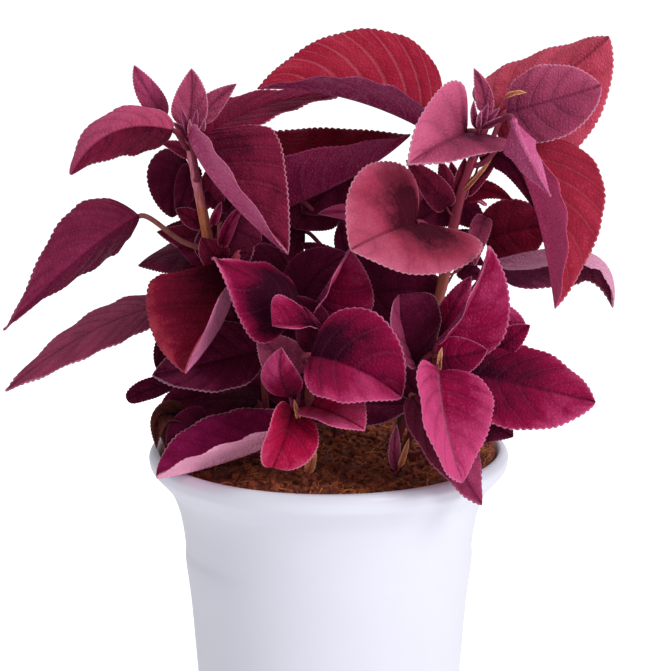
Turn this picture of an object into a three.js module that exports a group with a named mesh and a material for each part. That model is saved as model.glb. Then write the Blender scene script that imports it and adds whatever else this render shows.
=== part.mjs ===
// A coleus (painted nettle) growing in a round white pot.
//
// Frame: millimetres, +Z up, +X to the right and -Y toward the front, with the
// origin at the centre of the pot's flat base.
//
// The plant is seven stems that rise out of the potting soil, and the leaves
// that those stems carry. Each leaf is one grown piece, blade and stalk
// together, so each leaf is one mesh. The pot, the soil and every stem are one
// mesh each as well.
import * as THREE from "three";

// ---------------------------------------------------------------- dimensions

// The pot: a thin-walled tapering cup with a rounded, rolled-out rim.
const POT_HEIGHT = 150;
const POT_BASE_RADIUS = 56;
const POT_RIM_RADIUS = 80;
const POT_WALL = 3;
const POT_FLOOR = 4;
const POT_SEGMENTS = 48;

// The soil: it fills the pot to just under the lip.
const SOIL_TOP = 147.3;
const SOIL_EDGE_TOP = 146.2;
const SEAT_GAP = 0.3;

// Stems and leaves.
const STEM_SIDES = 8;
const STEM_STEPS = 8;
const LEAF_THICKNESS = 0.7;
const STALK_RADIUS = 1.3;
const STALK_CLEARANCE = 0.35;
const STALK_RING_SPACING = 12;
const LEAF_STATIONS = 7;
const HALF_POINTS = 2;
const LEAF_CUP = -10; // degrees that each half of a blade curls from midrib to edge
const FACING_TILT = 12.8; // degrees that the front leaves look up from the horizon

// Pot wall, outside, from the foot up to the crease under the rim: radius, height.
const POT_OUTSIDE = [
  [POT_BASE_RADIUS, 0],
  [59.5, 43],
  [62.2, 78],
  [64.5, 98],
  [64.5, 106],
  [66, 117],
  [68, 125],
  [71, 132],
  [75, 137],
];

// The rolled rim, over the top and down to the inside wall.
const POT_RIM = [
  [79, 141.5],
  [POT_RIM_RADIUS, 144.5],
  [POT_RIM_RADIUS, 147],
  [78.6, 149.4],
  [77, POT_HEIGHT],
  [75.8, 149.2],
  [75, 147],
  [75, 141.5],
];

// Each stem: centre line from the soil up, radius at the foot and at the top.
const STEMS = {
  left_stem: {
    path: [[-24, -4, 148.5], [-37, -2, 185], [-49, -1, 225], [-56, -2, 262], [-61, -4, 288]],
    foot: 2.9,
    top: 1.8,
  },
  right_stem: {
    path: [[29, 2, 148.5], [42, 2, 190], [50, 0, 223], [57, -4, 262], [68, -8, 296]],
    foot: 2.9,
    top: 1.8,
  },
  back_stem: {
    path: [[3, 22, 148.5], [3, 30, 185], [5, 38, 225], [6, 44, 262]],
    foot: 2.7,
    top: 1.7,
  },
  middle_stem: {
    path: [[-8, -14, 148.5], [-8, -24, 172], [-9, -34, 198], [-10, -43, 222]],
    foot: 2.3,
    top: 1.6,
  },
  front_stem: {
    path: [[-7, -37, 148.5], [-10, -47, 164], [-13, -57, 182]],
    foot: 1.9,
    top: 1.4,
  },
  low_right_stem: {
    path: [[30, -30, 148.5], [36, -38, 167], [42, -46, 187], [46, -52, 205]],
    foot: 2.2,
    top: 1.5,
  },
  low_left_stem: {
    path: [[-26, -18, 148.5], [-27, -23, 168], [-28, -28, 188]],
    foot: 2.2,
    top: 1.5,
  },
};

// Leaf colours.
const TONES = {
  crimson: 0x8e1f45,
  orange: 0xa02a35,
  red: 0x7a1830,
  magenta: 0x8a1650,
  mauve: 0x93476a,
  plum: 0x5f1a3c,
  dark: 0x3c1028,
};

// Each leaf: the stem that carries it and how far up, 0 to 1; the midrib's
// heel, middle and tip; the full width; how far the left and right halves (as
// seen walking on the upper side from heel to tip) fold up out of the blade's
// plane, in degrees; and the tone. Optional: lobe, how far the base of the
// blade reaches back past its heel, rightLobe where the right half differs and
// lobePower how near the heel that is;
// near and far, the powers of the outline toward the heel and toward the tip;
// faces, the way the upper side looks; flip, for a leaf that turns its underside
// to the front.
const LEAVES = [
  // carried by the left stem
  [
    "left_bud_leaf", "left_stem", 0.96, [-71, 8, 296], [-79, 9, 307], [-84.5, 9, 318.5],
    10.8, 10, 10, "mauve", { lobe: 0 },
  ],
  [
    "left_young_leaf", "left_stem", 1, [-61, -7, 293], [-59, -5, 304], [-59, 0, 318],
    17, 25, 30, "mauve", { lobe: 0 },
  ],
  [
    "left_drooping_leaf", "left_stem", 0.965, [-66, -21, 294], [-91, -23, 293.3], [-109, -29, 276],
    37, -54, -50, "crimson", { lobe: 0.02, near: 0.5, far: 0.85 },
  ],
  [
    "left_folded_leaf", "left_stem", 0.82, [-59, -14, 291], [-45, -25, 269], [-17, -36, 243],
    66, -5, 108, "crimson", { lobe: 0, far: 0.85 },
  ],
  [
    "left_arching_leaf", "left_stem", 0.93, [-55, 4, 288], [-23, 16, 301], [14, 26, 304],
    36, -50, 66, "magenta", { lobe: 0.05, near: 0.36, far: 1.25 },
  ],
  [
    "left_round_leaf", "left_stem", 0.72, [-61, 12, 273], [-67.5, 16, 266], [-69.5, 16, 250],
    28, -10, 10, "dark", { lobe: 0.08, far: 0.75 },
  ],
  [
    "left_side_leaf", "left_stem", 0.5, [-55, 14, 234], [-69, 16, 234], [-85, 16, 228],
    30, 50, -60, "dark", {},
  ],
  [
    "left_long_upper_leaf", "left_stem", 0.6, [-82, -10, 255.1], [-106.2, -18, 239], [-140, -26, 208],
    40, -68, -14, "plum", { lobe: 0, near: 0.75, far: 1.4 },
  ],
  [
    "left_long_lower_leaf", "left_stem", 0.3, [-70, 0, 214], [-105, -2, 202], [-143, -6, 176],
    34, 57, -56, "mauve", { lobe: 0.03, near: 0.6 },
  ],
  [
    "left_red_leaf", "left_stem", 0.46, [-43, -6, 234], [-44, -25, 216], [-60, -54, 196],
    70, 97, 5, "red", { lobe: -0.03, rightLobe: 0.08, near: 0.6, far: 0.52 },
  ],
  [
    "left_inner_leaf", "left_stem", 0.54, [-46, -9, 252], [-38, -9, 248], [-29, -9, 244],
    28, 0, -30, "plum", { lobe: 0.05 },
  ],
  [
    "centre_long_leaf", "left_stem", 0.72, [-26, 18, 253], [10, 14, 269.3], [36, 10, 288.1],
    70, -10, 131, "dark", { lobe: 0.2, near: 0.28, far: 1.08 },
  ],
  // carried by the low left stem
  [
    "left_mid_dark_leaf", "low_left_stem", 1, [-29, -26, 199], [-52, -28, 194], [-76, -30, 189],
    36, 48, -20, "dark", { lobe: 0.02 },
  ],
  [
    "left_low_dark_leaf", "low_left_stem", 0.5, [-31, -20, 175], [-49, -19, 176], [-73, -20, 173],
    30, 50, -60, "dark", { lobe: 0.02 },
  ],
  // carried by the middle stem
  [
    "left_rim_leaf", "middle_stem", 0.3, [-12, -42, 168], [-45, -48, 156], [-73, -53, 150],
    47, 112, -30, "plum", { lobe: 0.05, near: 0.6, far: 0.62 },
  ],
  [
    "centre_left_leaf", "middle_stem", 0.97, [-12, -52, 224], [-29, -57, 236], [-48, -62, 247],
    44, 8, -62, "magenta", { lobe: 0.05, far: 1.4 },
  ],
  [
    "centre_dark_leaf", "middle_stem", 0.85, [-12, -26, 221], [-4, -25, 233], [9, -26, 241],
    28, -20, 20, "dark", { lobe: 0.05 },
  ],
  [
    "centre_top_leaf", "middle_stem", 1, [-5, -39, 222], [2, -41, 234], [9, -43, 247],
    42, 97, -5, "magenta", { lobe: 0.05 },
  ],
  [
    "centre_broad_leaf", "middle_stem", 0.7, [-7, -72, 208], [13, -78, 203], [30, -84, 193],
    50, -10, 55, "magenta", { lobe: 0.03, far: 0.9 },
  ],
  [
    "centre_folded_leaf", "middle_stem", 0.9, [-3, -60, 216], [-12, -66, 219], [-23, -70, 220],
    26, 92, -10, "magenta", { lobe: 0, near: 1.4, far: 0.28 },
  ],
  [
    "centre_low_leaf", "middle_stem", 0.4, [0, -34, 178], [18, -36, 178], [37, -37, 178],
    26, -40, 45, "dark", { lobe: 0 },
  ],
  // carried by the front stem
  [
    "front_upright_leaf", "front_stem", 1, [-16, -62, 188], [-20, -66, 199], [-19, -66, 210],
    18, -20, 25, "magenta", { lobe: 0, far: 1 },
  ],
  [
    "front_hanging_leaf", "front_stem", 0.86, [-15, -70, 184], [-18.2, -79, 174], [-23, -79.5, 162.8],
    28, 0, 62, "magenta", { lobe: 0, near: 0.35, far: 0.45 },
  ],
  [
    "front_right_leaf", "front_stem", 0.97, [-7, -64, 184], [4, -74, 183], [15, -82, 178.5],
    32, -10, 75, "magenta", { lobe: 0 },
  ],
  // carried by the right stem
  [
    "top_arching_leaf", "right_stem", 0.9, [46, 4, 290], [8, 6, 305], [-31, 2, 309],
    70, 104, -12, "red", { lobe: 0, near: 0.57, far: 1.08 },
  ],
  [
    "right_heart_leaf", "right_stem", 0.97, [58, -26, 294], [45, -40, 290], [32, -50, 283],
    44, 50, 22, "mauve", { lobe: 0.27, far: 1.3 },
  ],
  [
    "right_mauve_leaf", "right_stem", 0.9, [76, -14, 301], [96, -20, 307], [115, -22, 313],
    35, -20, 20, "mauve", { lobe: 0.05, far: 0.7 },
  ],
  [
    "right_top_leaf", "right_stem", 0.95, [70, 3, 297], [99.2, 7, 313], [121.3, 7, 331],
    65, -52, -5, "orange", { lobe: 0.05, near: 0.3, far: 0.86 },
  ],
  [
    "right_pink_leaf", "right_stem", 1, [76, -52, 302], [80.5, -59, 291], [91, -62, 272],
    33, -60, -60, "mauve", { lobe: 0, near: 0.36, far: 1, flip: true },
  ],
  [
    "right_hanging_leaf", "right_stem", 0.86, [77, -11, 289], [90, -15, 258], [98, -19, 216],
    63, -5, 110, "orange", { lobe: -0.06, near: 0.6, far: 0.95 },
  ],
  [
    "right_narrow_leaf", "right_stem", 0.78, [66, -3, 278], [78, -2, 278], [90, -1, 256],
    12, 0, 0, "dark", { lobe: 0 },
  ],
  [
    "centre_heart_leaf", "right_stem", 0.62, [37, -36, 257], [23, -46, 254], [9, -58, 249],
    58, 35, 5, "mauve", { lobe: 0.72, rightLobe: 0.25, lobePower: 5 },
  ],
  [
    "right_round_leaf", "right_stem", 0.6, [70, 24, 238], [84, 28, 242], [98, 26, 244],
    30, -5, 0, "red", { lobe: 0, near: 0.45, far: 0.6 },
  ],
  [
    "right_curled_leaf", "right_stem", 0.4, [75, 10, 231], [116, 12, 234], [126, 6, 211],
    34, 118, -15, "mauve", { lobe: 0, near: 0.25, far: 0.8 },
  ],
  // carried by the low right stem
  [
    "right_inner_leaf", "low_right_stem", 0.97, [37, -46, 197], [31.5, -46, 212], [29.4, -46, 228],
    37, 80, -15, "dark", { lobe: 0, near: 0.4, far: 0.18 },
  ],
  [
    "right_upright_leaf", "low_right_stem", 1, [46, -54, 209], [58, -54, 226], [67, -52, 250],
    40, 92, 0, "magenta", { lobe: 0 },
  ],
  [
    "right_side_leaf", "low_right_stem", 0.85, [60, -36, 208], [72, -36, 213], [84, -36, 213],
    22, 0, 0, "magenta", { lobe: 0.05 },
  ],
  [
    "right_broad_leaf", "low_right_stem", 0.85, [54, -56, 198], [85, -62, 192], [111, -66, 186.4],
    44, -38, 36, "magenta", { lobe: 0.05, near: 0.52, far: 0.8 },
  ],
  [
    "right_front_leaf", "low_right_stem", 0.93, [45, -71, 201], [48, -82, 180], [55, -84, 157],
    44, -10, 70, "magenta", { lobe: 0.08 },
  ],
  [
    "right_rim_leaf", "low_right_stem", 0.6, [35, -54, 186], [50, -64, 165], [64, -70, 143],
    34, -35, 62, "dark", { lobe: 0 },
  ],
  // carried by the back stem
  [
    "inner_upper_leaf", "back_stem", 0.9, [-1, 32, 259], [-9, 30, 251], [-15, 26, 243],
    28, 0, 0, "dark", { lobe: 0 },
  ],
  [
    "inner_right_leaf", "back_stem", 0.4, [7, 22, 211], [28, 12, 218], [52, 4, 219],
    44, 0, 0, "dark", { lobe: 0 },
  ],
  [
    "inner_left_leaf", "back_stem", 0.4, [-13, 26, 211], [-30, 22, 206], [-49, 16, 198],
    60, 0, 0, "dark", { lobe: 0.05 },
  ],
  [
    "rear_top_leaf", "back_stem", 0.97, [6, 60, 262], [12, 84, 268], [14, 108, 250],
    40, -15, -15, "plum", { faces: "up" },
  ],
  [
    "rear_top_left_leaf", "back_stem", 0.9, [-10, 54, 257], [-36, 68, 262], [-62, 82, 244],
    44, -15, -15, "plum", { faces: "up" },
  ],
  [
    "rear_top_right_leaf", "back_stem", 0.97, [26, 48, 256], [48, 60, 262], [74, 72, 246],
    42, -15, -15, "crimson", { faces: "up" },
  ],
  [
    "rear_mid_leaf", "back_stem", 0.6, [0, 52, 222], [-6, 76, 222], [-12, 102, 200],
    50, -15, -15, "plum", { faces: "up" },
  ],
  [
    "rear_mid_right_leaf", "back_stem", 0.55, [18, 46, 216], [40, 64, 214], [60, 84, 190],
    46, -15, -15, "plum", { faces: "up" },
  ],
  [
    "rear_mid_left_leaf", "back_stem", 0.5, [-14, 42, 212], [-42, 60, 212], [-72, 74, 190],
    48, -15, -15, "plum", { faces: "up" },
  ],
  [
    "rear_low_right_leaf", "back_stem", 0.2, [15, 46, 176], [26, 68, 176], [38, 90, 160],
    42, -15, -15, "plum", { faces: "up" },
  ],
  [
    "rear_low_left_leaf", "back_stem", 0.2, [-19, 40, 176], [-38, 56, 176], [-60, 68, 160],
    38, -15, -15, "plum", { faces: "up" },
  ],
];

// ------------------------------------------------------------------- helpers

const degrees = THREE.MathUtils.degToRad;
const vector = (xyz) => new THREE.Vector3(...xyz);

// The directions that a leaf's upper side can look in.
const FACING = {
  front: new THREE.Vector3(0, -Math.cos(degrees(FACING_TILT)), Math.sin(degrees(FACING_TILT))),
  up: new THREE.Vector3(0, 0, 1),
};

/** What is left of `v` after its share along the unit vector `axis` is taken out. */
function across(v, axis) {
  return v.clone().addScaledVector(axis, -v.dot(axis));
}

/** A hump over 0 to 1, s^near * (1-s)^far, scaled so that its top is 1. */
function hump(s, near, far) {
  const peak = near / (near + far);
  const top = peak ** near * (1 - peak) ** far;
  return (s ** near * (1 - s) ** far) / top;
}

/** The volume that a closed triangle list encloses, negative when it is inside out. */
function enclosedVolume(points, triangles) {
  let volume = 0;
  for (let i = 0; i < triangles.length; i += 3) {
    const [a, b, c] = triangles.slice(i, i + 3).map((k) => points[k]);
    volume += a.clone().cross(b).dot(c) / 6;
  }
  return volume;
}

/** A closed body through a list of equal rings, ended by a point at each end. */
function loft(rings, first, last) {
  const count = rings[0].length;
  const points = [...rings.flat(), first, last];
  const firstIndex = points.length - 2;
  const lastIndex = points.length - 1;
  const lastRing = (rings.length - 1) * count;
  const triangles = [];
  for (let j = 0; j < count; j++) {
    const next = (j + 1) % count;
    triangles.push(firstIndex, next, j);
    triangles.push(lastIndex, lastRing + j, lastRing + next);
    for (let a = 0; a < lastRing; a += count) {
      const b = a + count;
      triangles.push(a + j, b + next, b + j);
      triangles.push(a + j, a + next, b + next);
    }
  }
  if (enclosedVolume(points, triangles) < 0) triangles.reverse();
  const geometry = new THREE.BufferGeometry().setFromPoints(points);
  geometry.setIndex(triangles);
  geometry.computeVertexNormals();
  return geometry;
}

/** A body of revolution about Z through the profile's [radius, height] points. */
function turned(profile) {
  const points = profile.map(([radius, height]) => new THREE.Vector2(radius, height));
  return new THREE.LatheGeometry(points, POT_SEGMENTS).rotateX(Math.PI / 2);
}

// ---------------------------------------------------------------------- stem

/** A stem's centre line and its radius, thick at the foot and thin at the top. */
class Stem {
  constructor({ path, foot, top }) {
    this.curve = new THREE.CatmullRomCurve3(path.map(vector), false, "catmullrom", 0.5);
    this.foot = foot;
    this.top = top;
  }

  /** The radius at `u`, 0 at the foot and 1 at the top. */
  radius(u) {
    return THREE.MathUtils.lerp(this.foot, this.top, u);
  }

  /** An even tube along the centre line, each ring then drawn in to its own radius. */
  geometry() {
    const corners = [];
    for (let i = 0; i < STEM_SIDES; i++) {
      const angle = ((i + 0.5) / STEM_SIDES) * 2 * Math.PI;
      corners.push(new THREE.Vector2(Math.cos(angle), Math.sin(angle)).multiplyScalar(this.foot));
    }
    const tube = new THREE.ExtrudeGeometry(new THREE.Shape(corners), {
      steps: STEM_STEPS,
      extrudePath: this.curve,
    });
    const centres = this.curve.getSpacedPoints(STEM_STEPS);
    const place = tube.getAttribute("position");
    const point = new THREE.Vector3();
    for (let i = 0; i < place.count; i++) {
      point.fromBufferAttribute(place, i);
      const distances = centres.map((centre) => centre.distanceTo(point));
      const ring = distances.indexOf(Math.min(...distances));
      const share = this.radius(ring / STEM_STEPS) / this.foot;
      point.lerpVectors(centres[ring], point.clone(), share);
      place.setXYZ(i, point.x, point.y, point.z);
    }
    return tube;
  }
}

// ---------------------------------------------------------------------- leaf

/** One leaf: a blade folded along its midrib, on a stalk from its stem. */
class Leaf {
  constructor([name, stem, at, heel, middle, tip, width, left, right, tone, more]) {
    this.name = name;
    this.stem = stem;
    this.at = at;
    this.tone = tone;
    this.heel = vector(heel);
    this.tip = vector(tip);
    this.width = width;
    this.left = degrees(left);
    this.right = degrees(right);
    this.lobe = more.lobe ?? 0.12;
    this.rightLobe = more.rightLobe ?? this.lobe;
    this.lobePower = more.lobePower ?? 2.5;
    this.near = more.near ?? 0.5;
    this.far = more.far ?? 0.9;
    this.side = more.flip ? -1 : 1;
    const halfway = vector(middle).multiplyScalar(2);
    this.control = halfway.addScaledVector(this.heel, -0.5).addScaledVector(this.tip, -0.5);
    this.midrib = new THREE.QuadraticBezierCurve3(this.heel, this.control, this.tip);
    this.setFacing(FACING[more.faces ?? "front"]);
  }

  /** Finds how far the upper side turns from the midrib's plane to look along `facing`. */
  setFacing(facing) {
    const start = this.control.clone().sub(this.heel);
    const end = this.tip.clone().sub(this.control);
    const chord = this.tip.clone().sub(this.heel).normalize();
    const upward = across(facing, chord).normalize();
    const normal = start.clone().cross(end);
    const straight = normal.length() < 1e-3 * start.length() * end.length();
    this.bend = straight ? upward : normal.normalize();
    const level = this.bend.clone().cross(chord);
    this.turn = Math.atan2(upward.dot(this.bend), upward.dot(level));
  }

  /** The midrib's direction, the sideways direction and the upper side's normal at `u`. */
  frame(u) {
    const t = this.midrib.getTangent(THREE.MathUtils.clamp(u, 0, 1));
    const level = this.bend.clone().cross(t);
    const up = level.multiplyScalar(Math.cos(this.turn));
    up.addScaledVector(this.bend, Math.sin(this.turn));
    return { t, up, sideways: t.clone().cross(up) };
  }

  /** The midrib at `u`, carried on straight behind the heel where `u` is negative. */
  spine(u) {
    if (u >= 0) return this.midrib.getPoint(u);
    const start = this.control.clone().sub(this.heel);
    return this.heel.clone().addScaledVector(start, 2 * u);
  }

  /** A point of the blade and its normal: `s` runs heel to tip, `v` left edge -1 to right 1. */
  surface(s, v) {
    const out = Math.abs(v);
    const hand = v < 0 ? -1 : 1;
    const ribEnd = s ** 1.6;
    const edgeEnd = s - (v > 0 ? this.rightLobe : this.lobe) * hump(s, 0.5, this.lobePower);
    const u = ribEnd + (edgeEnd - ribEnd) * out ** 1.3;
    const reach = 0.5 * this.width * hump(s, this.near, this.far) * out;
    const fold = v < 0 ? this.left : this.right;
    const mean = fold + (degrees(LEAF_CUP) * out) / 2;
    const { up, sideways } = this.frame(u);
    const point = this.spine(u);
    point.addScaledVector(sideways, reach * Math.cos(mean) * hand);
    point.addScaledVector(up, reach * Math.sin(mean));
    const lean = (angle, toward) => {
      const normal = up.clone().multiplyScalar(Math.cos(angle));
      return normal.addScaledVector(sideways, -Math.sin(angle) * toward);
    };
    const normal =
      out === 0
        ? lean(this.left, -1).add(lean(this.right, 1)).normalize()
        : lean(fold + degrees(LEAF_CUP) * out, hand);
    return { point, normal: normal.multiplyScalar(this.side) };
  }

  /**
   * A round ring of the stalk with as many points as a ring of the blade. `folded`, 0 to 1,
   * turns the points that lead to the two margins to where the blade's halves leave.
   */
  stalkRing(centre, sideways, up, folded) {
    const points = [];
    const half = 2 * HALF_POINTS + 1;
    const toLeft = 180 - THREE.MathUtils.radToDeg(this.left) * this.side * folded;
    const toRight = THREE.MathUtils.radToDeg(this.right) * this.side * folded;
    const gap = (toLeft - toRight) / 10;
    const over = [toLeft - gap, toRight + gap];
    const under = [toRight - gap, toLeft + gap - 360];
    for (const [from, to] of [over, under]) {
      for (let i = 0; i < half; i++) {
        const angle = degrees(THREE.MathUtils.lerp(from, to, i / (half - 1)));
        const point = centre.clone().addScaledVector(sideways, STALK_RADIUS * Math.cos(angle));
        points.push(point.addScaledVector(up, STALK_RADIUS * Math.sin(angle) * this.side));
      }
    }
    return points;
  }

  /** The stalk's rings, from just off the stem's skin to the heel of the blade. */
  stalk(stem) {
    const { t, up, sideways } = this.frame(0);
    const root = stem.curve.getPoint(this.at);
    const along = stem.curve.getTangent(this.at);
    const outward = across(this.heel.clone().sub(root), along).normalize();
    const start = root.addScaledVector(outward, stem.radius(this.at) + STALK_CLEARANCE);
    const reach = start.distanceTo(this.heel);
    const leaving = start.clone().addScaledVector(outward, 0.38 * reach);
    const arriving = this.heel.clone().addScaledVector(t, -0.2 * reach);
    const line = new THREE.CubicBezierCurve3(start, leaving, arriving, this.heel);
    const count = THREE.MathUtils.clamp(Math.ceil(reach / STALK_RING_SPACING), 2, 4);
    const rings = [];
    for (let i = 0; i < count; i++) {
      const u = i / count;
      const heading = line.getTangent(u);
      let flat = across(sideways, heading);
      if (flat.length() < 0.2) flat = heading.clone().cross(up);
      flat.normalize();
      rings.push(this.stalkRing(line.getPoint(u), flat, flat.clone().cross(heading), u));
    }
    rings.push(this.stalkRing(this.heel, sideways, up, 1));
    return { start, rings };
  }

  /** The blade's rings: points over the upper side, then back under the lower side. */
  blade() {
    const steps = [];
    for (let i = -HALF_POINTS; i <= HALF_POINTS; i++) {
      steps.push(Math.sign(i) * (Math.abs(i) / HALF_POINTS) ** 0.9);
    }
    const rings = [];
    for (let k = 1; k < LEAF_STATIONS; k++) {
      const s = (k / LEAF_STATIONS) ** 1.35;
      const skin = steps.map((v) => this.surface(s, v));
      const lift = (amount) => ({ point, normal }) => point.clone().addScaledVector(normal, amount);
      const over = skin.map(lift(LEAF_THICKNESS / 2));
      const under = skin.map(lift(-LEAF_THICKNESS / 2)).reverse();
      rings.push([...over, ...under]);
    }
    return rings;
  }

  /** The whole leaf as one closed body. */
  geometry(stem) {
    const { start, rings } = this.stalk(stem);
    return loft([...rings, ...this.blade()], start, this.tip);
  }
}

// ------------------------------------------------------------------ assembly

/** A named mesh with a material of its own. */
function piece(name, geometry, color, roughness) {
  const material = new THREE.MeshStandardMaterial({ color, roughness, metalness: 0 });
  const mesh = new THREE.Mesh(geometry, material);
  mesh.name = name;
  return mesh;
}

/** The pot: up the outside, over the rim and down the inside, closed on the axis. */
function potGeometry() {
  const inside = POT_OUTSIDE.slice(1, -1).map(([radius, height]) => [radius - POT_WALL, height]);
  const profile = [[0, 0], ...POT_OUTSIDE, ...POT_RIM, ...inside.reverse()];
  profile.push([POT_BASE_RADIUS - POT_WALL, POT_FLOOR], [0, POT_FLOOR]);
  return turned(profile);
}

/** The soil: the inside of the pot, a seat gap smaller, with a slightly crowned top. */
function soilGeometry() {
  const inset = POT_WALL + SEAT_GAP;
  const wall = POT_OUTSIDE.slice(1, -1).map(([radius, height]) => [radius - inset, height]);
  const edge = POT_RIM.at(-1)[0] - SEAT_GAP;
  const bottom = POT_FLOOR + SEAT_GAP;
  return turned([
    [0, bottom],
    [POT_BASE_RADIUS - inset, bottom],
    ...wall,
    [edge, POT_RIM.at(-1)[1] + SEAT_GAP],
    [edge, SOIL_EDGE_TOP],
    [60, SOIL_TOP - 0.3],
    [30, SOIL_TOP],
    [0, SOIL_TOP],
  ]);
}

const coleus = new THREE.Group();
coleus.add(piece("pot", potGeometry(), 0xe9e7f2, 0.35));
coleus.add(piece("soil", soilGeometry(), 0x3b2417, 0.95));

const stems = {};
for (const [name, sizes] of Object.entries(STEMS)) {
  stems[name] = new Stem(sizes);
  coleus.add(piece(name, stems[name].geometry(), 0x9c5a58, 0.55));
}

for (const row of LEAVES) {
  const leaf = new Leaf(row);
  coleus.add(piece(leaf.name, leaf.geometry(stems[leaf.stem]), TONES[leaf.tone], 0.6));
}

export default coleus;
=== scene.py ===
"""The looks of a coleus (painted nettle) that grows in a round white pot.

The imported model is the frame: the pot, the soil, seven stems and fifty-one leaves at
their real size. Here each of them is made again as a fine surface in the same place,
with its teeth, veins and finish, and the smallest leaves, the shoots, two withered
leaves and the crumbs and fibres of the soil are added.

Sizes and places are in millimetres where nothing else is said; MM turns them into
metres when a mesh is made. +Z is up, +X to the right and -Y toward the front.
"""

from __future__ import annotations

import logging
import math
from dataclasses import dataclass, field
from enum import Enum

import bpy
import numpy as np
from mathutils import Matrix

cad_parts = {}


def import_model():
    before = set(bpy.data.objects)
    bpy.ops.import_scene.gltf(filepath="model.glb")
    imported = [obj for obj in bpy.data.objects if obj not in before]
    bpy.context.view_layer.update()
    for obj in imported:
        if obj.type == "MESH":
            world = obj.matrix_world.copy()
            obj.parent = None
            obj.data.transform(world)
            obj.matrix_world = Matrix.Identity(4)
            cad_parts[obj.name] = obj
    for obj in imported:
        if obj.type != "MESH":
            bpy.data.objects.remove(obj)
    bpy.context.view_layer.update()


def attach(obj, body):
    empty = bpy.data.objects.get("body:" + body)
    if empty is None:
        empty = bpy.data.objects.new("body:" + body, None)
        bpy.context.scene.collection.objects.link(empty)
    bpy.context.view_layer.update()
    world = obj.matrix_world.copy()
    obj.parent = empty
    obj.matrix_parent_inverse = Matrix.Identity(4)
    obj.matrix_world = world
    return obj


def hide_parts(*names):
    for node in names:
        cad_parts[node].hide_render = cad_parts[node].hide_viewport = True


MM = 0.001

Array = np.ndarray
Colour = tuple[float, float, float, float]
Place = tuple[float, float, float]
Socket = bpy.types.NodeSocket

log = logging.getLogger("coleus")


# ------------------------------------------------------------------ small maths


def unit(vectors: Array) -> Array:
    """Vectors of length one along the last axis."""
    length = np.linalg.norm(vectors, axis=-1, keepdims=True)
    return vectors / np.maximum(length, 1e-12)


def dot(a: Array, b: Array) -> Array:
    """The scalar product along the last axis, kept as a column."""
    return np.sum(a * b, axis=-1, keepdims=True)


def full_turn(count: int) -> Array:
    """Angles of evenly spaced points once round a ring."""
    return np.arange(count) * 2 * math.pi / count


def smoothstep(x: Array, low: float, high: float) -> Array:
    """A smooth rise from 0 at low to 1 at high: 3t^2 - 2t^3 of the share t."""
    t = np.clip((np.asarray(x, float) - low) / (high - low), 0, 1)
    return t * t * (3 - 2 * t)


def hump(s: Array, near: float, far: float) -> Array:
    """A hump over 0 to 1, s^near * (1-s)^far, divided by its own highest value."""
    peak = near / (near + far)
    top = peak**near * (1 - peak) ** far
    return np.maximum(s, 0) ** near * np.maximum(1 - s, 0) ** far / top


def catmull_rom(points: Array, u: Array) -> Array:
    """A curve through points, evenly timed.

    Between two points the place is the cubic whose slope at each of them is half the
    step from its neighbour before to its neighbour after; past an end the neighbour
    is that end mirrored.

    Args:
        points: n rows of coordinates.
        u: shares of the way, 0 to 1, of any shape.

    Returns:
        A place for each u, with a coordinate axis added at the end.
    """
    first = 2 * points[0] - points[1]
    last = 2 * points[-1] - points[-2]
    padded = np.vstack([first, points, last])
    step = np.clip(np.asarray(u, float), 0, 1) * (len(points) - 1)
    i = np.minimum(step.astype(int), len(points) - 2)
    f = (step - i)[..., None]
    a, b, c, d = (padded[i + k] for k in range(4))
    cubic = (3 * (b - c) + d - a) * f**3 + (2 * a - 5 * b + 4 * c - d) * f**2
    return 0.5 * (cubic + (c - a) * f + 2 * b)


def bezier(a: Array, b: Array, c: Array, d: Array, u: Array) -> tuple[Array, Array]:
    """The cubic (1-u)^3 a + 3(1-u)^2 u b + 3(1-u)u^2 c + u^3 d, from a to d.

    Args:
        a: the start.
        b: the handle of the start.
        c: the handle of the end.
        d: the end.
        u: shares of the way, as a column.

    Returns:
        The places and the directions of the curve.
    """
    place = (1 - u) ** 3 * a + 3 * (1 - u) ** 2 * u * b
    place = place + 3 * (1 - u) * u**2 * c + u**3 * d
    going = (1 - u) ** 2 * (b - a) + 2 * (1 - u) * u * (c - b)
    return place, unit(going + u**2 * (d - c))


@dataclass(frozen=True)
class ValueNoise:
    """Soft random hills in space: fixed random heights on a lattice, blended between."""

    seed: int
    cell: float
    side: int = 32

    def __call__(self, places: Array) -> Array:
        """The height, -1 to 1, at each place.

        The eight lattice heights around a place are mixed by smoothstep shares along
        each axis; the lattice repeats after `side` cells.

        Args:
            places: coordinates along the last axis, in the unit of `cell`.

        Returns:
            Heights, one for each place.
        """
        heights = np.random.default_rng(self.seed).uniform(-1, 1, (self.side,) * 3)
        scaled = places / self.cell
        low = np.floor(scaled).astype(int)
        share = scaled - low
        share = share * share * (3 - 2 * share)
        total = np.zeros(places.shape[:-1])
        for corner in np.ndindex(2, 2, 2):
            index = (low + corner) % self.side
            weight = np.where(corner, share, 1 - share).prod(-1)
            total += weight * heights[index[..., 0], index[..., 1], index[..., 2]]
        return total


# ------------------------------------------------------------------ meshes


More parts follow.
